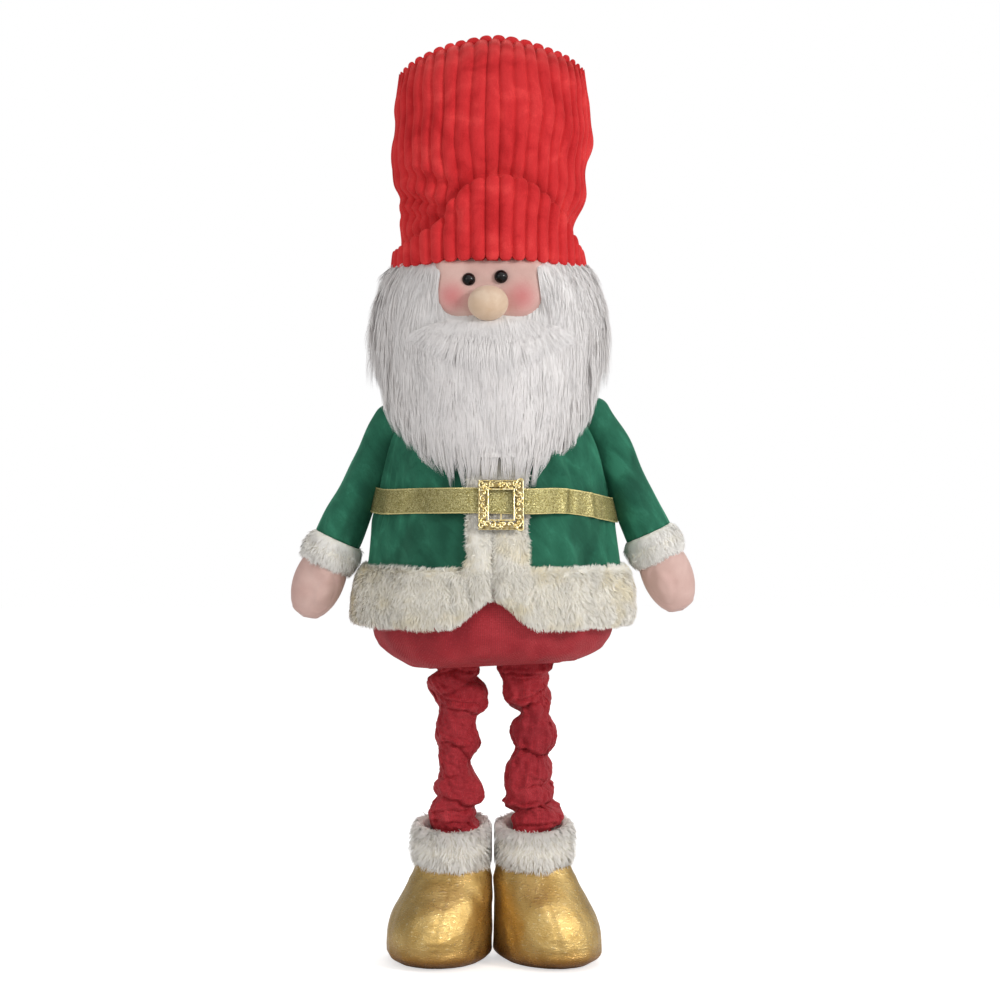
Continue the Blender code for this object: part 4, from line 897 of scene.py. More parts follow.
# a cast frame of scrolls and beads round a plain window, on a bar behind the ribbon
def makeBuckle():
    s = dict(width=0.045, height=0.050, border=0.0112, bead=0.0013)
    middle = Vector((*(buckleLow[:2] + buckleHigh[:2]) / 2, (buckleLow[2] + buckleHigh[2]) / 2))
    half = Vector((s["width"] / 2, s["height"] / 2))
    bm = bmesh.new()

    # a tapering round bar along these points
    def rod(points, radius, sides=8, closed=False):
        points = np.array(points)
        ahead = unit(np.gradient(points, axis=0))
        side = unit(np.cross(ahead, np.array([0.0, 1.0, 0.0])))
        upward = np.cross(side, ahead)
        rings = []
        for i, point in enumerate(points):
            t = i / (len(points) - 1)
            r = radius * (1 if closed else 0.35 + 0.65 * sin(pi * min(1, t + 0.15) * 0.9))
            turns = [2 * pi * k / sides for k in range(sides)]
            rings.append([bm.verts.new(point + r * (cos(a) * side[i] + sin(a) * upward[i])) for a in turns])
        for first, second in zip(rings, rings[1:]):
            for k in range(sides):
                bm.faces.new((first[k], first[(k + 1) % sides], second[(k + 1) % sides], second[k]))
        if not closed:
            bm.faces.new(rings[0][::-1])
            bm.faces.new(rings[-1])

    # a flat spiral with its eye standing forward
    def scroll(x, z, size, start, way):
        points = []
        for i in range(22):
            t = i / 21
            angle = start + way * t * 3.3 * pi / 2
            r = size * (1 - 0.86 * t)
            points.append((x + r * cos(angle), -0.0016 - 0.0011 * t, z + r * sin(angle)))
        rod(points, 0.00105)
        bmesh.ops.create_uvsphere(bm, u_segments=10, v_segments=6, radius=s["bead"],
                                  matrix=Matrix.Translation((x, -0.0026, z)))

    plate = s["border"] - 0.0030
    for x0, x1, z0, z1 in (
        (-half.x + 0.0016, -half.x + plate, -half.y + 0.0016, half.y - 0.0016),
        (half.x - plate, half.x - 0.0016, -half.y + 0.0016, half.y - 0.0016),
        (-half.x + 0.0016, half.x - 0.0016, half.y - plate, half.y - 0.0016),
        (-half.x + 0.0016, half.x - 0.0016, -half.y + 0.0016, -half.y + plate),
    ):
        box = bmesh.ops.create_cube(bm, size=1.0, matrix=Matrix.LocRotScale(
            Vector(((x0 + x1) / 2, 0, (z0 + z1) / 2)), None, Vector((x1 - x0, 0.0020, z1 - z0))))
        bmesh.ops.bevel(bm, geom=list({e for v in box["verts"] for e in v.link_edges}), offset=0.0006,
                        segments=2, affect="EDGES")
    inner = (half.x - s["border"] + 0.0012, half.y - s["border"] + 0.0012)
    outer = (half.x - 0.0014, half.y - 0.0014)
    for reach, radius, forward in ((inner, 0.0009, -0.0016), (outer, 0.0008, -0.0008)):
        corners = [(-reach[0], -reach[1]), (reach[0], -reach[1]), (reach[0], reach[1]), (-reach[0], reach[1])]
        for (ax, az), (bx, bz) in zip(corners, corners[1:] + corners[:1]):
            line = [(ax + (bx - ax) * t, forward, az + (bz - az) * t) for t in np.linspace(-0.01, 1.01, 6)]
            rod(line, radius, 8, True)
    lane = s["border"] / 2 - 0.0002
    for end in (-1, 1):
        for i, along in enumerate(np.linspace(-1, 1, 6)):
            way = 1 if i % 2 else -1
            scroll(along * (half.x - 0.0085), end * (half.y - lane), 0.0040, i * 1.4, way * end)
        for i, along in enumerate(np.linspace(-1, 1, 7)):
            way = 1 if i % 2 else -1
            scroll(end * (half.x - lane), along * (half.y - 0.0085), 0.0040, 0.9 + i * 1.7, way * end)
        for side in (-1, 1):
            scroll(end * (half.x - 0.0045), side * (half.y - 0.0045), 0.0050, 0.8 * end * side, end * side)
    for k in range(6):  # a small flower at the middle of the lower and upper sides
        for end in (-1, 1):
            petalX, petalZ = 0.0022 * cos(k * pi / 3), 0.0022 * sin(k * pi / 3)
            petal = Matrix.Translation((petalX, -0.0026, end * (half.y - lane) + petalZ))
            bmesh.ops.create_uvsphere(bm, u_segments=10, v_segments=6, radius=0.0013, matrix=petal)
    bmesh.ops.create_cube(bm, size=1.0, matrix=Matrix.LocRotScale(
        Vector((0, 0.0042, 0)), None, Vector((0.0014, 0.0012, s["height"] - 0.006))))
    bmesh.ops.recalc_face_normals(bm, faces=bm.faces)
    bm.verts.index_update()
    relief = [(0.0006 - corner.co.y) / 0.0036 if corner.co.y < 0.002 else 0.6 for corner in bm.verts]
    widening = coatHalf(beltMiddle - beltHalf) - coatHalf(beltMiddle + beltHalf)
    slope = widening * coatSizes["depthRatio"] / (2 * beltHalf)
    front = Vector((middle.x, buckleLow[1] + 0.0052, middle.z))
    lean = Matrix.Translation(front) @ Euler((-float(slope), 0, 0)).to_matrix().to_4x4()
    bmesh.ops.transform(bm, matrix=lean, verts=bm.verts)
    mesh = bpy.data.meshes.new("scroll_buckle")
    bm.to_mesh(mesh)
    bm.free()
    tone = mesh.color_attributes.new(name="tone", type="FLOAT_COLOR", domain="POINT")
    tone.data.foreach_set("color", np.repeat(np.clip(relief, 0, 1), 4).astype(np.float32))
    mesh.shade_smooth()
    mesh.set_sharp_from_angle(angle=radians(50))
    settle(newObject("scroll_buckle", mesh, castGold), "figure", "gold_buckle", "buckle")


# Arms
armSizes = dict(
    shoulderOut=0.094, drop={"left": 0.0150, "right": 0.0085}, tilt=radians(24.6), sleeve=0.143,
    topRadius=0.0165, endRadius=0.0235, cuff=0.034, cuffRadius=0.032, wrist=0.0185,
    hand=0.055, handHalf=0.0255, handDepth=0.0200, pile=0.0034,
)


# turns points of an arm that hangs straight down from its shoulder into place
def armPlace(side, sign):
    turn = np.array(Euler((0, -sign * armSizes["tilt"], 0)).to_matrix())
    shoulder = np.array([sign * armSizes["shoulderOut"], 0, bodyTop - armSizes["drop"][side]])
    return lambda points: points @ turn.T + shoulder


def makeArm(side, sign):
    s = armSizes
    move = armPlace(side, sign)
    cuffTop = -s["sleeve"]

    def sleeve(u, v):
        turn = 2 * pi * u
        radius = s["topRadius"] + (s["endRadius"] - s["topRadius"]) * v**0.8
        spot = stack(np.cos(turn) * 0.03, np.sin(turn) * 0.03, v * 0.10)
        radius = radius + 0.0016 * wobble(spot, 0.05, 41 + sign) * (1 - 0.6 * v)
        slack = 0.0010 * np.cos(2 * turn + 9 * v) * np.sin(pi * v)
        radius += slack + 0.0006 * np.cos(11 * turn) * smooth(0.85, 1, v)
        radius = radius * np.sqrt(np.clip(1 - (1 - np.clip(v / 0.10, 0, 1)) ** 2, 0.02, 1))
        radius += 0.0028 * bump(0.62, 0.25, v) * (np.cos(turn) > 0) * np.cos(turn) ** 2
        return move(stack(radius * np.sin(turn), -radius * np.cos(turn), -v * (s["sleeve"] + 0.004)))

    cloth = surface(side + "_sleeve_velvet", sleeve, 72, 64, velvet, caps=True, cloth=(0.14, 0.14))
    settle(cloth, "figure", "green_velvet", side + "_sleeve")

    cuff = dict(plushSizes, seed=51 + sign, fibres=8500, length=0.0060)

    def ring(u, v):
        turn = 2 * pi * u
        radius, height = ringSection(
            v, s["wrist"] - 0.002, s["cuffRadius"] - s["pile"],
            cuffTop - s["cuff"] / 2, s["cuff"] / 2 - 0.004,
        )
        radius = radius * (1 + 0.03 * np.cos(2 * turn + 1))
        return move(stack(radius * np.sin(turn), -radius * np.cos(turn), height))

    def at(u, v):
        return ring(u, (v - 0.5) * 0.72)

    def outward(u, v):
        return ringNormals(ring, u, (v - 0.5) * 0.72)

    def flow(u, v):
        return np.repeat(down, len(u), axis=0)

    down = move(np.array([[0, 0, -1.0]])) - move(np.array([[0, 0, 0.0]]))
    back = surface(side + "_cuff_backing", ring, 60, 20, creamBack, loop=True, cloth=(0.2, 0.1))
    settle(back, "figure", "cream_plush")
    plush = shortPile(side + "_cuff_plush", at, outward, cuff["fibres"], cuff, whitePlush, flow)
    settle(plush, "figure", "cream_plush", side + "_cuff")

    palm = cuffTop - s["cuff"]
    outline = (
        (-0.3, 0.72), (0.0, 0.93), (0.2, 0.99), (0.45, 0.97), (0.7, 0.82), (0.86, 0.62), (0.95, 0.40),
        (1.0, 0.0),
    )

    def mitten(u, v):
        turn = 2 * pi * u
        share = -s["cuff"] / s["hand"] + (1 + s["cuff"] / s["hand"]) * (1 - (1 - v) ** 1.5)
        wide = s["handHalf"] * curveThrough(outline, share)
        flat = 1 + (s["handDepth"] / s["handHalf"] - 1) * smooth(0, 0.3, share)
        lean = -sign * 0.001 * smooth(0.1, 1.0, share)
        x, y = wide * np.sin(turn) + lean, -wide * flat * np.cos(turn)
        height = palm - share * s["hand"]
        # the thumb is a raised lobe in front, with a stitched crease round its outer side
        thumbX = -sign * s["handHalf"] * 0.35
        apart = np.sqrt(((x - thumbX) / 0.0105) ** 2 + ((height - palm + 0.42 * s["hand"]) / 0.0190) ** 2)
        crease = 0.0012 * bump(1.05, 0.08, apart) * smooth(-0.3, 0.6, -sign * (x - thumbX) / 0.01)
        lobe = 0.0026 * (1 - smooth(0.40, 1.0, apart)) - crease
        y = y - lobe * (np.cos(turn) > 0.1)
        return move(stack(x, y + 0.0004 * wobble(stack(x, y, height), 0.02, 61), height))

    hand = surface(side + "_mitten", mitten, 76, 60, handSkin, caps=True, cloth=(0.15, 0.09))
    settle(hand, "figure", "skin_cloth", side + "_hand")


# Head
faceSizes = dict(
    across=-0.0036, width=0.101, drop=0.0150, corner=0.020, narrow=0.13, flat=0.0815, curve=0.012,
)
noseMiddle = np.array([-0.0045, -0.0935, headMiddle - 0.0065])
eyes = {"left": (-0.0233, 0.0170), "right": (0.0080, 0.0196)}


# distance outside the rounded opening for the face, negative inside it
def windowEdge(x, z):
    s = faceSizes
    halfWide = s["width"] / 2 - s["corner"] - s["narrow"] * np.maximum(z - headMiddle, 0)
    top = headMiddle + 0.10
    bottom = headMiddle - s["drop"]
    dx = np.abs(x - s["across"]) - halfWide
    dz = np.abs(z - (top + bottom) / 2) - ((top - bottom) / 2 - s["corner"])
    outside = np.hypot(np.maximum(dx, 0), np.maximum(dz, 0))
    return outside + np.minimum(np.maximum(dx, dz), 0) - s["corner"]


# height of the opening's lower edge
def windowSill(x):
    s = faceSizes
    over = np.clip(np.abs(x - s["across"]) - (s["width"] / 2 - s["corner"]), 0, s["corner"])
    return headMiddle - s["drop"] + s["corner"] - np.sqrt(s["corner"] ** 2 - over**2)


def makeHead():
    def at(u, v):
        turn, rise = 2 * pi * u, pi * (v * 0.94 + 0.06)
        way = stack(np.sin(rise) * np.sin(turn), -np.sin(rise) * np.cos(turn), -np.cos(rise))
        x, y, z = (way * headHalf).T
        front = y < 0
        s = faceSizes
        edge = 1 - smooth(0.0, 0.014, windowEdge(x, z + headMiddle))
        shown = edge * front * (1 - smooth(0.032, 0.046, z))
        face = s["curve"] * ((x - s["across"]) / s["width"]) ** 2 - s["flat"]
        y = y + shown * (np.minimum(y, face) - y)
        puff = 0.0055 * bump(0, 1, np.hypot((x + 0.038) / 0.021, (z + 0.008) / 0.022))
        puff += 0.0055 * bump(0, 1, np.hypot((x - 0.030) / 0.021, (z + 0.009) / 0.022))
        puff += 0.0010 * bump(0.016, 0.012, z) * bump(0, 0.04, x)
        underNose = bump(0.0135, 0.0016, z + 6 * (x + 0.005) ** 2)
        puff -= 0.0016 * underNose * (1 - smooth(0.010, 0.018, np.abs(x + 0.005)))
        for across, above in eyes.values():
            puff -= 0.0030 * bump(0, 1, np.hypot(x - across, z - above) / 0.008)
        return stack(x, y - puff * front, z + headMiddle)

    head = surface("head_cloth", at, 132, 92, faceSkin, caps=True, cloth=(0.5, 0.25))
    settle(head, "figure", "skin_cloth", "head")
    for side, (across, above) in eyes.items():
        front = nodeBox(side + "_eye")[0][1]
        middle = (across, front + 0.0052, headMiddle + above)
        eye = ball(side + "_bead", middle, (0.0066,) * 3, 40, bead)
        settle(eye, "figure", "black_bead", side + "_eye")
    nose = ball("felt_nose", noseMiddle, (0.0196, 0.0175, 0.0172), 64, felt)
    settle(nose, "figure", "nose_felt", "nose")


# Long pile of beard, hair and moustache
furSizes = dict(
    half=0.1205, front=0.1245, back=0.105, rootDepth=0.0036, width=0.0009, length=0.054,
    hairLevel=0.600, hairReach=0.60, coatRoom=0.0035,
    widths=(
        (0.00, 0.34), (0.04, 0.49), (0.11, 0.64), (0.20, 0.78), (0.30, 0.88), (0.42, 0.93), (0.54, 0.98),
        (0.64, 1.00), (0.85, 0.95), (0.94, 0.89), (1.00, 0.83),
    ),
    frontDepths=(
        (0.0, 0.90), (0.11, 0.965), (0.34, 1.0), (0.6, 0.97), (0.78, 0.90), (0.92, 0.78), (1.0, 0.66),
    ),
    backDepths=((0.0, 0.90), (0.5, 1.0), (0.85, 0.95), (1.0, 0.80)),
    faceLevel=0.0815, faceSlope=0.032,
)
furBottom, hairBottom = beardLow[2], hairLow[2]


def furHalf(height):
    return furSizes["half"] * curveThrough(furSizes["widths"], (height - furBottom) / (furTop - furBottom))


# the outside of beard and hair. Towards the face it slopes in, and low down it lies on the coat
def furPoint(turn, height, out=0.0):
    s = furSizes
    share = (height - furBottom) / (furTop - furBottom)
    wide = furHalf(height) + out
    x = wide * np.sin(turn) * (1 - 0.060 * smooth(0.4, 0.9, np.sin(turn)))
    front = np.cos(turn) > 0
    frontDeep = s["front"] * curveThrough(s["frontDepths"], share) + out
    backDeep = s["back"] * curveThrough(s["backDepths"], (height - hairBottom) / (furTop - hairBottom)) + out
    y = -np.where(front, frontDeep, backDeep) * np.cos(turn)
    near = 1 - smooth(0.0, s["faceSlope"], windowEdge(x, height))
    flat = np.maximum(y, -s["faceLevel"] - out)
    y = np.where(front, y + near * (flat - y), y)
    coatWide = coatHalf(np.minimum(height, coatTop - 0.004)) + s["coatRoom"] + 0.5 * out
    inCoat = np.sqrt(np.clip(1 - (x / coatWide) ** 2, 0, 1)) * coatWide * coatSizes["depthRatio"]
    inCoat = inCoat * (1 - smooth(coatTop - 0.012, coatTop, height))
    y = np.where(front, np.minimum(y, -inCoat), y)
    # the middle lock goes in behind the buckle
    tuck = (1 - smooth(0.0, 0.024, height - buckleHigh[2])) * (1 - smooth(0.026, 0.042, np.abs(x)))
    y = np.where(front, y + tuck * (-inCoat - 0.0025 - y), y)
    return stack(x, y, height)


# directions that run level along the fur's surface
def furAcross(turn, height):
    return unit(furPoint(turn + 0.02, height) - furPoint(turn - 0.02, height))


# outward directions of the smooth form that beard and hair share
def furForm(points):
    return unit(points / np.array([0.120, 0.125, 0.200]) ** 2 - np.array([0, 0, 0.600 / 0.200**2]))


def longStrands(name, count, seed, back):
    s = furSizes
    rng = np.random.default_rng(seed)
    many = count * 3
    reach = pi / 2 + (s["hairReach"] if back else 0.0)
    turn = rng.uniform(-reach, reach, many)
    bottom = hairBottom if back else furBottom - 0.005
    lowest = bottom + (0.014 * smooth(0.6, 0.95, np.abs(np.sin(turn))) if back else 0.0)
    tip = lowest + (furTop - lowest) * rng.random(many)
    keep = rng.random(many) < np.maximum(0.3, furHalf(tip) / s["half"])
    if back:
        turn = turn + pi
    else:
        across = furHalf(tip) * np.sin(turn)
        beside = np.abs(across - faceSizes["across"]) > faceSizes["width"] / 2
        keep &= beside | (tip < windowSill(across) - 0.012)
    turn, tip = turn[keep][:count], tip[keep][:count]
    count = len(turn)
    length = s["length"] * rng.uniform(0.65, 1.25, count)
    spot = stack(0.10 * np.sin(turn), 0.10 * np.cos(turn), tip)
    root = np.minimum(tip + length * 0.95, furTop + 0.002)
    tipX = furHalf(tip) * np.sin(turn)
    if not back:
        below = np.abs(tipX - faceSizes["across"]) < faceSizes["width"] / 2
        root = np.where(below, np.minimum(root, windowSill(tipX) + 0.001), root)
    if back:
        ragged = 1 - smooth(0.0, 0.030, tip - bottom)
    else:
        ragged = 1 - smooth(0.25, 0.65, (tip - bottom) / (furTop - bottom))
    uneven = 0.004 + 0.007 * wobble(spot, 0.011, seed + 5)
    tip = tip - ragged * (uneven + 0.004 * np.abs(rng.normal(0, 1, count)))
    if not back:
        above = buckleHigh[2] + rng.uniform(-0.007, 0.001, count)
        tip = np.where(np.abs(tipX - 0.002) < 0.030, np.maximum(tip, above), tip)

    def halfAt(level):
        return furHalf(np.maximum(level, s["hairLevel"])) if back else furHalf(level)

    steps = 4
    t = np.linspace(0, 1, steps)[None, :]
    height = root[:, None] + (tip - root)[:, None] * t
    widest = furBottom + 0.61 * (furTop - furBottom)
    drift = 0.85 * (1 - smooth(widest - 0.030, widest + 0.030, tip))
    ownX = halfAt(height) * np.sin(turn)[:, None]
    x = ownX + drift[:, None] * (tipX[:, None] - ownX) * (not back)
    bend = np.arcsin(np.clip(x / halfAt(np.maximum(height, bottom)), -1, 1))
    lay = np.where(np.cos(turn)[:, None] < 0, np.pi - bend, bend)
    wave = 0.0042 * wobble(spot, 0.040, seed + 1) + (0.0012 + 0.0014 * ragged) * rng.normal(0, 1, count)
    lay = lay + (wave / s["half"])[:, None] * t**1.3 * 1.6
    fluff = rng.uniform(-0.0010, 0.0008, count) + 0.0010 * wobble(spot, 0.03, seed + 2)
    fluff += 0.0040 * smooth(0.75, 1.0, np.abs(np.sin(turn))) * np.maximum(0, wobble(spot, 0.013, seed + 6))
    out = -s["rootDepth"] * (1 - smooth(0, 0.45, t)) + fluff[:, None] * smooth(0, 0.6, t)
    out = out + halfAt(height) - furHalf(height) + 0.0010 * back
    points = furPoint(lay.ravel(), height.ravel(), out.ravel()).reshape(count, steps, 3)
    points = clumped(points, rng, 90, 0.12 + 0.48 * np.clip(ragged, 0, 1))
    points = clumped(points, rng, 14, 0.20 + 0.55 * np.clip(ragged, 0, 1))
    if not back:
        aside = points[..., 0] - faceSizes["across"]
        level = points[..., 2]
        edge = faceSizes["width"] / 2 - faceSizes["narrow"] * np.maximum(level - headMiddle, 0)
        edge = edge + rng.uniform(0, 0.002, (count, 1))
        corner = headMiddle - faceSizes["drop"] + 0.5 * faceSizes["corner"]
        beside = (level > corner) & (np.abs(aside) < edge)
        points[..., 0] = np.where(beside, faceSizes["across"] + np.sign(aside) * edge, points[..., 0])
    inside = windowEdge(points[..., 0], points[..., 2]) < -0.004
    crossing = (inside & (points[..., 1] < 0)).any(axis=1) & (not back)
    points = points[~crossing]
    sideways = furAcross(lay[~crossing, 1], height[~crossing, 1])
    width = s["width"] * rng.uniform(0.6, 1.15, len(points))
    return strands(name, points, sideways, width, longPile, rng, roll=0.2, soft=1.0, edge=0.06, form=furForm)


def makeBeardAndHair():
    def frontBack(u, v):
        height = furBottom + 0.020 + (furTop + 0.002 - furBottom - 0.020) * v
        return furPoint((u - 0.5) * pi, height, -0.0024)

    def shows(points):
        clear = windowEdge(points[:, 0], points[:, 2]) > 0.0
        shape = furHalf(points[:, 2]) - 0.0130 + 0.008 * smooth(0.05, 0.12, points[:, 2] - furBottom)
        return clear & (np.abs(points[:, 0]) <= shape + 0.001)

    backing = surface("beard_backing", frontBack, 90, 70, longBack, around=False, keep=shows, closed=False)
    settle(backing, "figure", "white_long_pile")
    beard = longStrands("beard_pile", 26000, 71, False)
    settle(beard, "figure", "white_long_pile", "beard")

    def hairBack(u, v):
        height = hairBottom + 0.034 + (furTop + 0.002 - hairBottom - 0.034) * v
        return furPoint(pi / 2 + u * pi, height, -0.0024)

    backing = surface("hair_backing", hairBack, 90, 50, longBack, around=False, closed=False)
    settle(backing, "figure", "white_long_pile")
    hair = longStrands("hair_pile", 17000, 81, True)
    settle(hair, "figure", "white_long_pile", "back_hair")


def makeMoustache():
    s = dict(
        left=0.062, right=0.055, bulge=0.0055, seed=91, fibres=8000, top=0.0170, slope=0.011, body=0.011,
    )
    rng = np.random.default_rng(s["seed"])
    count = s["fibres"]
    share = rng.uniform(-1, 1, count)
    share = bent(share, 1.1) * 0.97
    reach = np.where(share < 0, s["left"], s["right"])
    low = rng.random(count)
    x = share * reach
    z = headMiddle - s["top"] - s["slope"] * np.abs(share) ** 1.6
    z = z - low * s["body"] * (1 - 0.6 * share**2)
    length = (0.024 + 0.026 * (1 - np.abs(share))) * rng.uniform(0.45, 1.35, count)
    start = radians(74) * share
    finish = radians(56) * share * np.abs(share)
    start += rng.normal(0, 0.10, count)
    finish += rng.normal(0, 0.12, count) + 0.22 * wobble(stack(x, 0 * x, z), 0.025, 92)
    steps = 5
    points = []
    rise = ((0.0, 0.0), (0.15, 0.62), (0.38, 1.0), (0.7, 0.50), (1.0, 0.0))
    layer = rng.uniform(-0.0014, 0.0012, count) - 0.003 * low
    for i in range(steps):
        t = i / (steps - 1)
        if i:
            angle = start + (finish - start) * (t - 0.5 / (steps - 1))
            x = x + np.sin(angle) * length / (steps - 1)
            z = z - np.cos(angle) * length / (steps - 1)
        turn = np.arcsin(np.clip(x / furHalf(z), -1, 1))
        under = -furPoint(turn, z)[:, 1]
        lift = 0.0015 + layer * min(1, 3 * t) + s["bulge"] * curveThrough(rise, t) * (1 - 0.7 * share**4)
        points.append(stack(x, -under - lift, z))
    points = np.stack(points, axis=1)
    points = clumped(points, rng, 70, 0.35)
    points = clumped(points, rng, 12, 0.45)
    middle = points[:, steps // 2]
    turn = np.arcsin(np.clip(middle[:, 0] / furHalf(middle[:, 2]), -1, 1))
    sideways = furAcross(turn, middle[:, 2])
    width = furSizes["width"] * rng.uniform(0.6, 1.1, count)
    pile = strands("moustache_pile", points, sideways, width, longPile, rng, roll=0.2, soft=1.0, edge=0.06,
                   form=furForm)
    settle(pile, "figure", "white_long_pile", "moustache")


# Hat
hatSizes = dict(
    wales=43, waleDepth=0.0056, brimBack=0.022, brimThick=0.0105, frontLow=0.0052, roll=0.0050,
    seamDeep=0.0095,
    left=(
        (0.0, 0.0915), (0.22, 0.0930), (0.33, 0.0935), (0.46, 0.1000), (0.75, 0.1000), (0.88, 0.0975),
        (1.0, 0.0940),
    ),
    right=(
        (0.0, 0.0830), (0.18, 0.0815), (0.29, 0.0880), (0.44, 0.0920), (0.56, 0.0970), (0.70, 0.0990),
        (0.85, 0.0960), (1.0, 0.0915),
    ),
    top=(
        (-0.098, 0.1900), (-0.087, 0.2030), (-0.065, 0.2175), (-0.026, 0.2305), (0.001, 0.2345),
        (0.028, 0.2310), (0.056, 0.2220), (0.081, 0.2095), (0.095, 0.1960),
    ),
    arch=(
        (-0.100, 0.017), (-0.076, 0.028), (-0.051, 0.045), (-0.035, 0.067), (-0.025, 0.076),
        (-0.007, 0.082), (0.010, 0.084), (0.036, 0.078), (0.054, 0.064), (0.069, 0.051), (0.0785, 0.037),
        (0.088, 0.019),
    ),
    depths=((0.0, 1.0), (0.3, 0.95), (0.6, 0.90), (0.8, 0.76), (0.92, 0.49), (0.98, 0.22), (1.0, 0.0)),
)
hatHalf = hatHigh[0]
hatDeep = hatHigh[1]


# 1 on the crest of a wale and near 0 in the groove beside it
def waleShape(turn):
    across = np.mod(turn / (2 * pi) * hatSizes["wales"] + 0.5, 1.0) * 2 - 1
    return np.sqrt(np.clip(1 - (0.985 * np.abs(across)) ** 2.4, 0, 1))


# turn starts at the front. groove, from 0 to 1, runs over the top and down into the seam
def crownPoint(turn, share, out, groove=0.0):
    s = hatSizes
    cosine = np.cos(turn)
    wide = np.where(np.sin(turn) < 0, curveThrough(s["left"], share), curveThrough(s["right"], share))
    deep = hatDeep * curveThrough(s["depths"], share)
    atTop = smooth(0.86, 1.0, share)
    deep = np.hypot(deep, s["roll"] * atTop)
    x = wide * np.sin(turn)
    y = -deep * cosine
    z = hatLow[2] + share * (curveThrough(s["top"], x) - 0.0015)
    z = z - s["frontLow"] * atTop * smooth(-0.02, 0.05, cosine)
    # slouch: slanting creases low down on one side
    for level, slope, deepness in ((0.050, -0.25, 0.0050), (0.068, -0.42, 0.0062), (0.090, -0.30, 0.0040)):
        line = hatLow[2] + level + slope * (x + 0.09)
        sideways = (1 - smooth(-0.050, 0.005, x)) * smooth(-0.101, -0.080, x)
        out = out - deepness * bump(0, 0.0055, z - line) * sideways * smooth(-0.5, 0.1, cosine)
        out = out + 0.55 * deepness * bump(0.0085, 0.006, z - line) * sideways * smooth(-0.5, 0.1, cosine)
    upward = np.clip(smooth(0.80, 0.99, share), 0, 1)
    ahead = unit(stack(np.sin(turn) / hatHalf, -cosine / hatDeep))
    x = x + out * ahead[..., 0] * (1 - 0.55 * upward)
    y = y + out * ahead[..., 1] * (1 - 0.75 * upward)
    z = z + out * upward
    over = groove * pi / 2
    y = y * (1 - np.sin(over))
    seam = hatLow[2] + curveThrough(s["top"], x) - s["seamDeep"]
    z = z + (1 - np.cos(over)) * (seam - z)  # front and back meet in one line
    return stack(x, y, z)


def makeHat():
    s = hatSizes
    grooveRows = 0.06

    def crown(u, v):
        turn = 2 * pi * u
        groove = np.clip((v - 1 + grooveRows) / grooveRows, 0, 1)
        share = np.clip(v / (1 - grooveRows), 0, 1)
        share = 1 - (1 - share) ** 1.25
        bend = turn + 0.014 * wobble(stack(0.1 * np.sin(turn), 0.1 * np.cos(turn), share * 0.16), 0.09, 7)
        spot = stack(0.09 * np.sin(turn), -0.08 * np.cos(turn), share * hatHeight)
        dent = 0.0022 * wobble(spot, 0.07, 8) * smooth(0.05, 0.3, share) * (1 - smooth(0.7, 0.95, share))
        x = curveThrough(s["left"], share) * np.sin(turn)
        above = share * hatHeight - curveThrough(s["arch"], x)
        dent -= 0.0045 * bump(0.002, 0.007, above) * smooth(0.0, 0.3, np.cos(turn))
        return crownPoint(bend, share, dent - s["waleDepth"] * (1 - waleShape(turn)), groove)

    hat = surface("hat_corduroy", crown, 528, 62, corduroy, cloth=(0.57, 0.24))
    settle(hat, "figure", "red_corduroy", "hat_crown")

    def brim(u, v):
        turn = 2 * pi * u
        wale = waleShape(turn)
        x = np.where(np.sin(turn) < 0, s["left"][0][1], s["right"][0][1]) * np.sin(turn) * 1.08
        ahead = smooth(-0.25, 0.15, np.cos(turn))
        tall = s["brimBack"] + (curveThrough(s["arch"], x) - s["brimBack"]) * ahead
        # the section runs from the inner bottom round the turned edge, up the outside and over the top
        arc = 2 * pi * v
        upDown = -np.cos(arc)
        outIn = np.sin(arc)
        up = 0.5 + 0.5 * bent(upDown, 0.55)
        outer = 0.5 + 0.5 * bent(outIn, 0.35)
        thick = s["brimThick"] * (1 - 0.25 * up) * outer
        relief = -1.2 * s["waleDepth"] * (1 - wale) * smooth(0.3, 0.8, outer)
        ends = 0.0060 * (1 - wale)
        low, high = ends - 0.004 * smooth(0.02, 0.09, np.abs(x)), tall - ends
        height = low + (high - low) * up
        lift = 0.0035 * ahead * up * (1 - smooth(0.070, 0.098, np.abs(x)))
        return crownPoint(turn, height / hatHeight, 0.0010 + thick + relief + lift)

    band = surface("hat_turned_brim", brim, 528, 38, corduroy, loop=True, cloth=(0.6, 0.2))
    settle(band, "figure", "red_corduroy", "hat_brim")


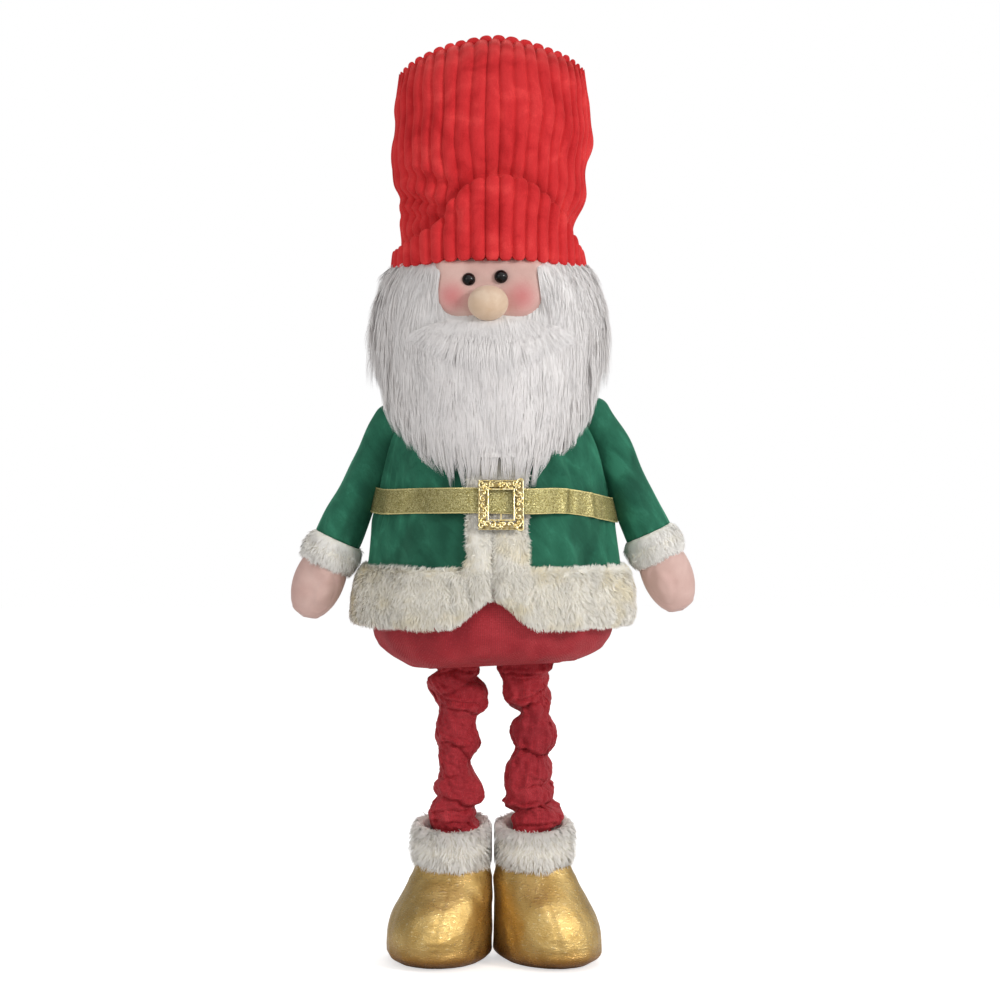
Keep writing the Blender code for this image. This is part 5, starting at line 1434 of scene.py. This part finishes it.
# Legs
legOutlines = {  # height, then X of the left and right edges of the gathered cloth, as seen from the front
    "left": (
        (
            (0.094, -0.062), (0.118, -0.062), (0.127, -0.0575), (0.138, -0.0632), (0.156, -0.0603),
            (0.163, -0.0544), (0.175, -0.0584), (0.181, -0.0532), (0.204, -0.0545), (0.218, -0.0540),
            (0.223, -0.0566), (0.238, -0.0555), (0.253, -0.0518), (0.263, -0.0560), (0.279, -0.0654),
            (0.290, -0.0540), (0.297, -0.0600),
        ),
        (
            (0.094, -0.0190), (0.118, -0.0190), (0.125, -0.0156), (0.131, -0.0134), (0.135, -0.0185),
            (0.146, -0.0170), (0.151, -0.0192), (0.156, -0.0111), (0.165, -0.0087), (0.178, -0.0141),
            (0.188, -0.0211), (0.197, -0.0225), (0.213, -0.0120), (0.222, -0.0144), (0.2425, -0.0141),
            (0.248, -0.0075), (0.260, -0.0048), (0.272, -0.0097), (0.277, -0.0185), (0.284, -0.0141),
            (0.297, -0.0130),
        ),
    ),
    "right": (
        (
            (0.094, 0.0190), (0.120, 0.0190), (0.1325, 0.0205), (0.141, 0.0185), (0.150, 0.0233),
            (0.156, 0.0097), (0.162, 0.0123), (0.175, 0.0108), (0.194, 0.0138), (0.211, 0.0218),
            (0.225, 0.0167), (0.2366, 0.0196), (0.2498, 0.0285), (0.2564, 0.0123), (0.2615, 0.0098),
            (0.278, 0.0094), (0.291, 0.0035), (0.297, 0.0060),
        ),
        (
            (0.094, 0.0620), (0.118, 0.0620), (0.125, 0.0534), (0.1325, 0.0636), (0.1384, 0.0702),
            (0.1486, 0.0636), (0.153, 0.0540), (0.1574, 0.0585), (0.1655, 0.0600), (0.1736, 0.0534),
            (0.178, 0.0570), (0.190, 0.0578), (0.2014, 0.0535), (0.212, 0.0614), (0.228, 0.0629),
            (0.2396, 0.0563), (0.257, 0.0560), (0.2652, 0.0507), (0.272, 0.0540), (0.279, 0.0490),
            (0.288, 0.0585), (0.297, 0.0600),
        ),
    ),
}
legCreases = {  # height at the left and right edges, depth, and where across it starts and ends, -1 to 1
    "left": (
        (0.263, 0.277, 0.0034, -1, 1), (0.262, 0.252, 0.0030, -1, 0.7),
        (0.253, 0.2425, 0.0042, -0.8, 1), (0.2176, 0.209, 0.0036, -1, 0.3),
        (0.226, 0.197, 0.0034, -0.2, 1), (0.181, 0.186, 0.0020, -1, 0.0),
        (0.1633, 0.152, 0.0046, -1, 1), (0.147, 0.150, 0.0028, -1, 0.9), (0.139, 0.135, 0.0034, -1, 1),
        (0.128, 0.133, 0.0026, -0.6, 1), (0.286, 0.289, 0.0026, -1, 1),
    ),
    "right": (
        (0.286, 0.283, 0.0030, -1, 1), (0.280, 0.279, 0.0026, -0.4, 1), (0.270, 0.266, 0.0022, 0.0, 1),
        (0.2540, 0.268, 0.0026, -1, 1), (0.2498, 0.259, 0.0050, -1, 0.5),
        (0.211, 0.2014, 0.0050, -1, 1), (0.192, 0.176, 0.0022, 0.1, 1),
        (0.170, 0.1736, 0.0030, 0.0, 1), (0.150, 0.153, 0.0048, -1, 1),
        (0.160, 0.155, 0.0026, -0.3, 1), (0.133, 0.136, 0.0030, -1, 1),
    ),
}


# cloth pushed together on the pole: bulges lean left and right, with sharp creases between them
def makeLegCover(side, sign):
    low, high = nodeBox(side + "_leg_cover")
    bottom, top = low[2], high[2]
    pole = middleX(side + "_upper_tube")
    s = dict(deep=0.0240, least=0.0118, collarLeast=0.0138, crease=0.0024, seed=101 + sign)
    leftEdge, rightEdge = legOutlines[side]

    def at(u, v):
        turn = 2 * pi * u
        sine, cosine = np.sin(turn), np.cos(turn)
        height = bottom + (top - bottom) * v
        inner = s["least"] + (s["collarLeast"] - s["least"]) * bump(0.216, 0.020, height)
        behind = 1 - smooth(-0.5, 0.1, cosine)
        shift = 0.007 * behind
        westX = np.minimum(curveThrough(leftEdge, height + shift), pole - inner)
        eastX = np.maximum(curveThrough(rightEdge, height - shift), pole + inner)
        middle, half = (westX + eastX) / 2, (eastX - westX) / 2
        middle = middle * (1 - behind) + (pole + middle) / 2 * behind
        across = bent(sine, 0.9)
        x = middle + half * across
        spot = stack(x, 0.03 * cosine, height)
        deep = s["deep"] * (1 + 0.10 * wobble(stack(0 * x, 0.03 * cosine, height), 0.05, s["seed"]))
        relief = 0.0017 * wobble(spot, 0.016, s["seed"] + 1) + 0.0009 * wobble(spot, 0.007, s["seed"] + 2)
        for westZ, eastZ, depth, start, finish in legCreases[side]:
            mirrored = np.where(cosine > 0, across, -0.8 * across)
            line = (westZ + eastZ) / 2 + (eastZ - westZ) / 2 * mirrored
            line = line + 0.0012 * wobble(spot, 0.02, 7)
            away = height - line
            reach = smooth(start - 0.3, start + 0.15, across)
            reach = reach * (1 - smooth(finish - 0.15, finish + 0.3, across))
            near = -bump(0, 0.45, away / s["crease"]) + 0.55 * bump(1.1, 0.9, away / s["crease"])
            near = near * depth
            relief = relief + near * reach * (0.35 + 0.65 * np.abs(cosine))
        ends = smooth(0.0, 0.10, v)
        keepInside = np.maximum(np.abs(cosine), 0.15)
        y = -bent(cosine, 0.85) * np.maximum(deep, s["collarLeast"])
        y = y - relief * ends * cosine / keepInside
        x = x + relief * ends * sine * 0.35
        return stack(x, y, height)

    cover = surface(side + "_leg_cloth", at, 100, 186, burlap, cloth=(0.17, 0.30))
    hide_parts(side + "_leg_cover")
    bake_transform(cover)


def makeBoot(side, sign):
    low, high = nodeBox(side + "_boot")
    tall = high[2] - low[2]
    toeOut = {"left": radians(3), "right": radians(9)}
    s = dict(half=0.0525, toe=0.083, heel=0.063, gap=0.0010, toeOut=toeOut[side], seed=111 + sign)
    rows = (  # height, then width, toe and heel, as shares of the largest
        (0.00, 0.80, 0.74, 0.80), (0.05, 0.93, 0.89, 0.94), (0.22, 1.00, 1.00, 1.00),
        (0.42, 0.99, 0.99, 0.97), (0.62, 0.93, 0.88, 0.90), (0.80, 0.83, 0.65, 0.80),
        (0.93, 0.735, 0.48, 0.70), (1.00, 0.70, 0.41, 0.63),
    )
    base = s["half"] + s["gap"] / 2
    pole = abs(middleX(side + "_upper_tube"))

    def at(u, v):
        turn, share = 2 * pi * u, v
        wide, toe, heel = (curveThrough([(row[0], row[i]) for row in rows], share) for i in (1, 2, 3))
        middle = base + (pole - base) * smooth(0.3, 1.0, share)
        half = np.minimum(np.minimum(s["half"] * wide, base), middle - s["gap"] / 2)
        cosine, sine = np.cos(turn), np.sin(turn)
        reach = np.where(cosine > 0, s["toe"] * toe, s["heel"] * heel)
        y = -reach * bent(cosine, 0.92)
        x = middle + half * sine + np.maximum(0, -y) * sin(s["toeOut"]) * (1 - 0.5 * share)
        # seam down the toe and up the heel, with the cloth drawn in along it
        away = np.abs(sine) * s["half"]
        seam = bump(0, 0.0012, away)
        spot = stack(away * 0.5, 0 * x, share * 0.09)
        pucker = bump(0, 0.016, away) * wobble(spot, 0.006, s["seed"], 1)
        dent = 0.0007 * seam + 0.0003 * pucker * smooth(0.05, 0.2, share) * (1 - smooth(0.85, 1.0, share))
        dent = dent - 0.0006 * wobble(stack(x, y, share * tall), 0.03, s["seed"] + 2)
        shrink = 1 - dent / 0.06
        return stack(sign * (middle + (x - middle) * shrink), y * shrink, low[2] + share * tall)

    boot = surface(side + "_lame_boot", at, 128, 64, lame, caps=True, cloth=(0.35, 0.1))
    settle(boot, side + "_foot", "gold_lame", side + "_boot")


def makeBootTrim(side, sign):
    low, high = nodeBox(side + "_boot_trim")
    pole = middleX(side + "_boot_trim")
    s = dict(
        plushSizes, seed=121 + sign, fibres=11500, length=0.0080, bore=0.0250, outer=0.0418, pile=0.0042,
        lift=0.9, tipLift=0.6, tilt=0.0085, side=sign,
    )
    tall = high[2] - low[2]

    def ring(u, v):
        turn = 2 * pi * u
        radius, height = ringSection(
            v, s["bore"] + 0.0008, s["outer"] - s["pile"], low[2] + tall / 2, tall / 2 - 0.0045,
        )
        radius = radius * (1 + 0.02 * np.cos(3 * turn + sign))
        back = -radius * np.cos(turn)
        return stack(pole + radius * np.sin(turn), back, height + s["tilt"] * back / s["outer"])

    def at(u, v):
        return ring(u, (v - 0.5) * 0.86)

    def outward(u, v):
        return ringNormals(ring, u, (v - 0.5) * 0.86)

    def flow(u, v):
        return stack(0.6 * np.sin(2 * pi * u), -0.6 * np.cos(2 * pi * u), -0.7 + 0 * u)

    back = surface(side + "_boot_trim_backing", ring, 72, 20, creamBack, loop=True, cloth=(0.25, 0.1))
    settle(back, side + "_foot", "cream_plush")
    plush = shortPile(side + "_boot_plush", at, outward, s["fibres"], s, whitePlush, flow)
    settle(plush, side + "_foot", "cream_plush", side + "_boot_trim")


# the poles, their collars and plates and the hip board keep their own shapes
def dressFrameNodes():
    wearing = {"hip_board": plywood}
    for side in sides:
        wearing[side + "_upper_tube"] = wearing[side + "_lower_tube"] = steel
        wearing[side + "_lock_collar"] = wearing[side + "_sole_plate"] = plastic
    for node, material in wearing.items():
        made = bpy.data.objects[node]
        for slot in made.material_slots:
            slot.material = material


# Camera, light and floor
def makeStudio():
    s = dict(distance=2.6, height=0.50, across=0.007, lens=93.6, shift=-0.043)
    camera = bpy.data.objects.new("camera", bpy.data.cameras.new("camera"))
    camera.data.lens = s["lens"]
    camera.data.shift_y = s["shift"]
    camera.location = (s["across"], -s["distance"], s["height"])
    camera.rotation_euler = (pi / 2, 0, 0)
    bpy.context.scene.collection.objects.link(camera)
    bpy.context.scene.camera = camera

    def lamp(name, spot, aim, size, power):
        light = bpy.data.lights.new(name, "AREA")
        light.shape = "DISK"
        light.size = size
        light.energy = power
        made = bpy.data.objects.new(name, light)
        made.location = spot
        made.rotation_euler = (Vector(aim) - Vector(spot)).to_track_quat("-Z", "Y").to_euler()
        bpy.context.scene.collection.objects.link(made)

    lamp("key_lamp", (1.80, -1.65, 1.35), (0, 0, 0.5), 0.7, 26)
    lamp("fill_lamp", (-1.6, -1.9, 1.1), (0, 0, 0.45), 1.4, 8)
    lamp("back_lamp", (0.3, 1.8, 1.9), (0, 0, 0.6), 1.2, 12)

    world = bpy.data.worlds.new("studio")
    bpy.context.scene.world = world
    world.use_nodes = True
    tree = world.node_tree
    tree.nodes.clear()
    path = put(tree, "LightPath").outputs
    seen = calc(tree, "MAXIMUM", path["Is Camera Ray"], path["Is Transmission Ray"])
    # shiny cloth and metal see one bright side of the room
    way = put(tree, "TexCoord").outputs["Generated"]
    lit = put(tree, "VectorMath", {0: way, 1: (0.57, -0.57, 0.59)}, operation="DOT_PRODUCT").outputs["Value"]
    room = calc(tree, "MULTIPLY", between(tree, lit, 0.0, 0.95, 0.30, 1.5), path["Is Glossy Ray"])
    dim = calc(tree, "MULTIPLY_ADD", path["Is Glossy Ray"], -0.54, 0.54)
    soft = put(tree, "Background", {"Color": (1, 1, 1, 1), "Strength": calc(tree, "ADD", room, dim)})
    white = put(tree, "Background", {"Color": (1, 1, 1, 1), "Strength": 1.0})
    both = put(tree, "MixShader", {0: seen, 1: soft.outputs[0], 2: white.outputs[0]})
    put(tree, "OutputWorld", {"Surface": both.outputs[0]})

    floorMesh = bpy.data.meshes.new("floor")
    bm = bmesh.new()
    bmesh.ops.create_grid(bm, x_segments=1, y_segments=1, size=6.0)
    bm.to_mesh(floorMesh)
    bm.free()
    paper = bpy.data.materials.new("floor_paper")
    paper.use_nodes = True
    tree = paper.node_tree
    tree.nodes.clear()
    path = put(tree, "LightPath").outputs
    matt = put(tree, "BsdfDiffuse", {"Color": colour(236, 236, 236)})
    glowing = calc(tree, "MULTIPLY", path["Is Camera Ray"], 0.58)
    glow = put(tree, "Emission", {"Color": (1, 1, 1, 1), "Strength": glowing})
    both = put(tree, "AddShader", {0: matt.outputs[0], 1: glow.outputs[0]})
    put(tree, "OutputMaterial", {"Surface": both.outputs[0]})
    floor = newObject("floor", floorMesh, paper)
    floor.location.z = -0.0005
    bpy.context.scene.view_settings.view_transform = "Standard"


makeStudio()
dressFrameNodes()
print("studio and frame")
makeHat()
print("hat")
makeHead()
makeBeardAndHair()
makeMoustache()
print("head and long pile")
makeCoat()
makeBody()
makeHemTrim()
makeFrontTrims()
makeBelt()
makeBuckle()
print("coat, body and belt")
for side, sign in sides.items():
    makeArm(side, sign)
    makeLegCover(side, sign)
    makeBoot(side, sign)
    makeBootTrim(side, sign)
print("arms and legs")
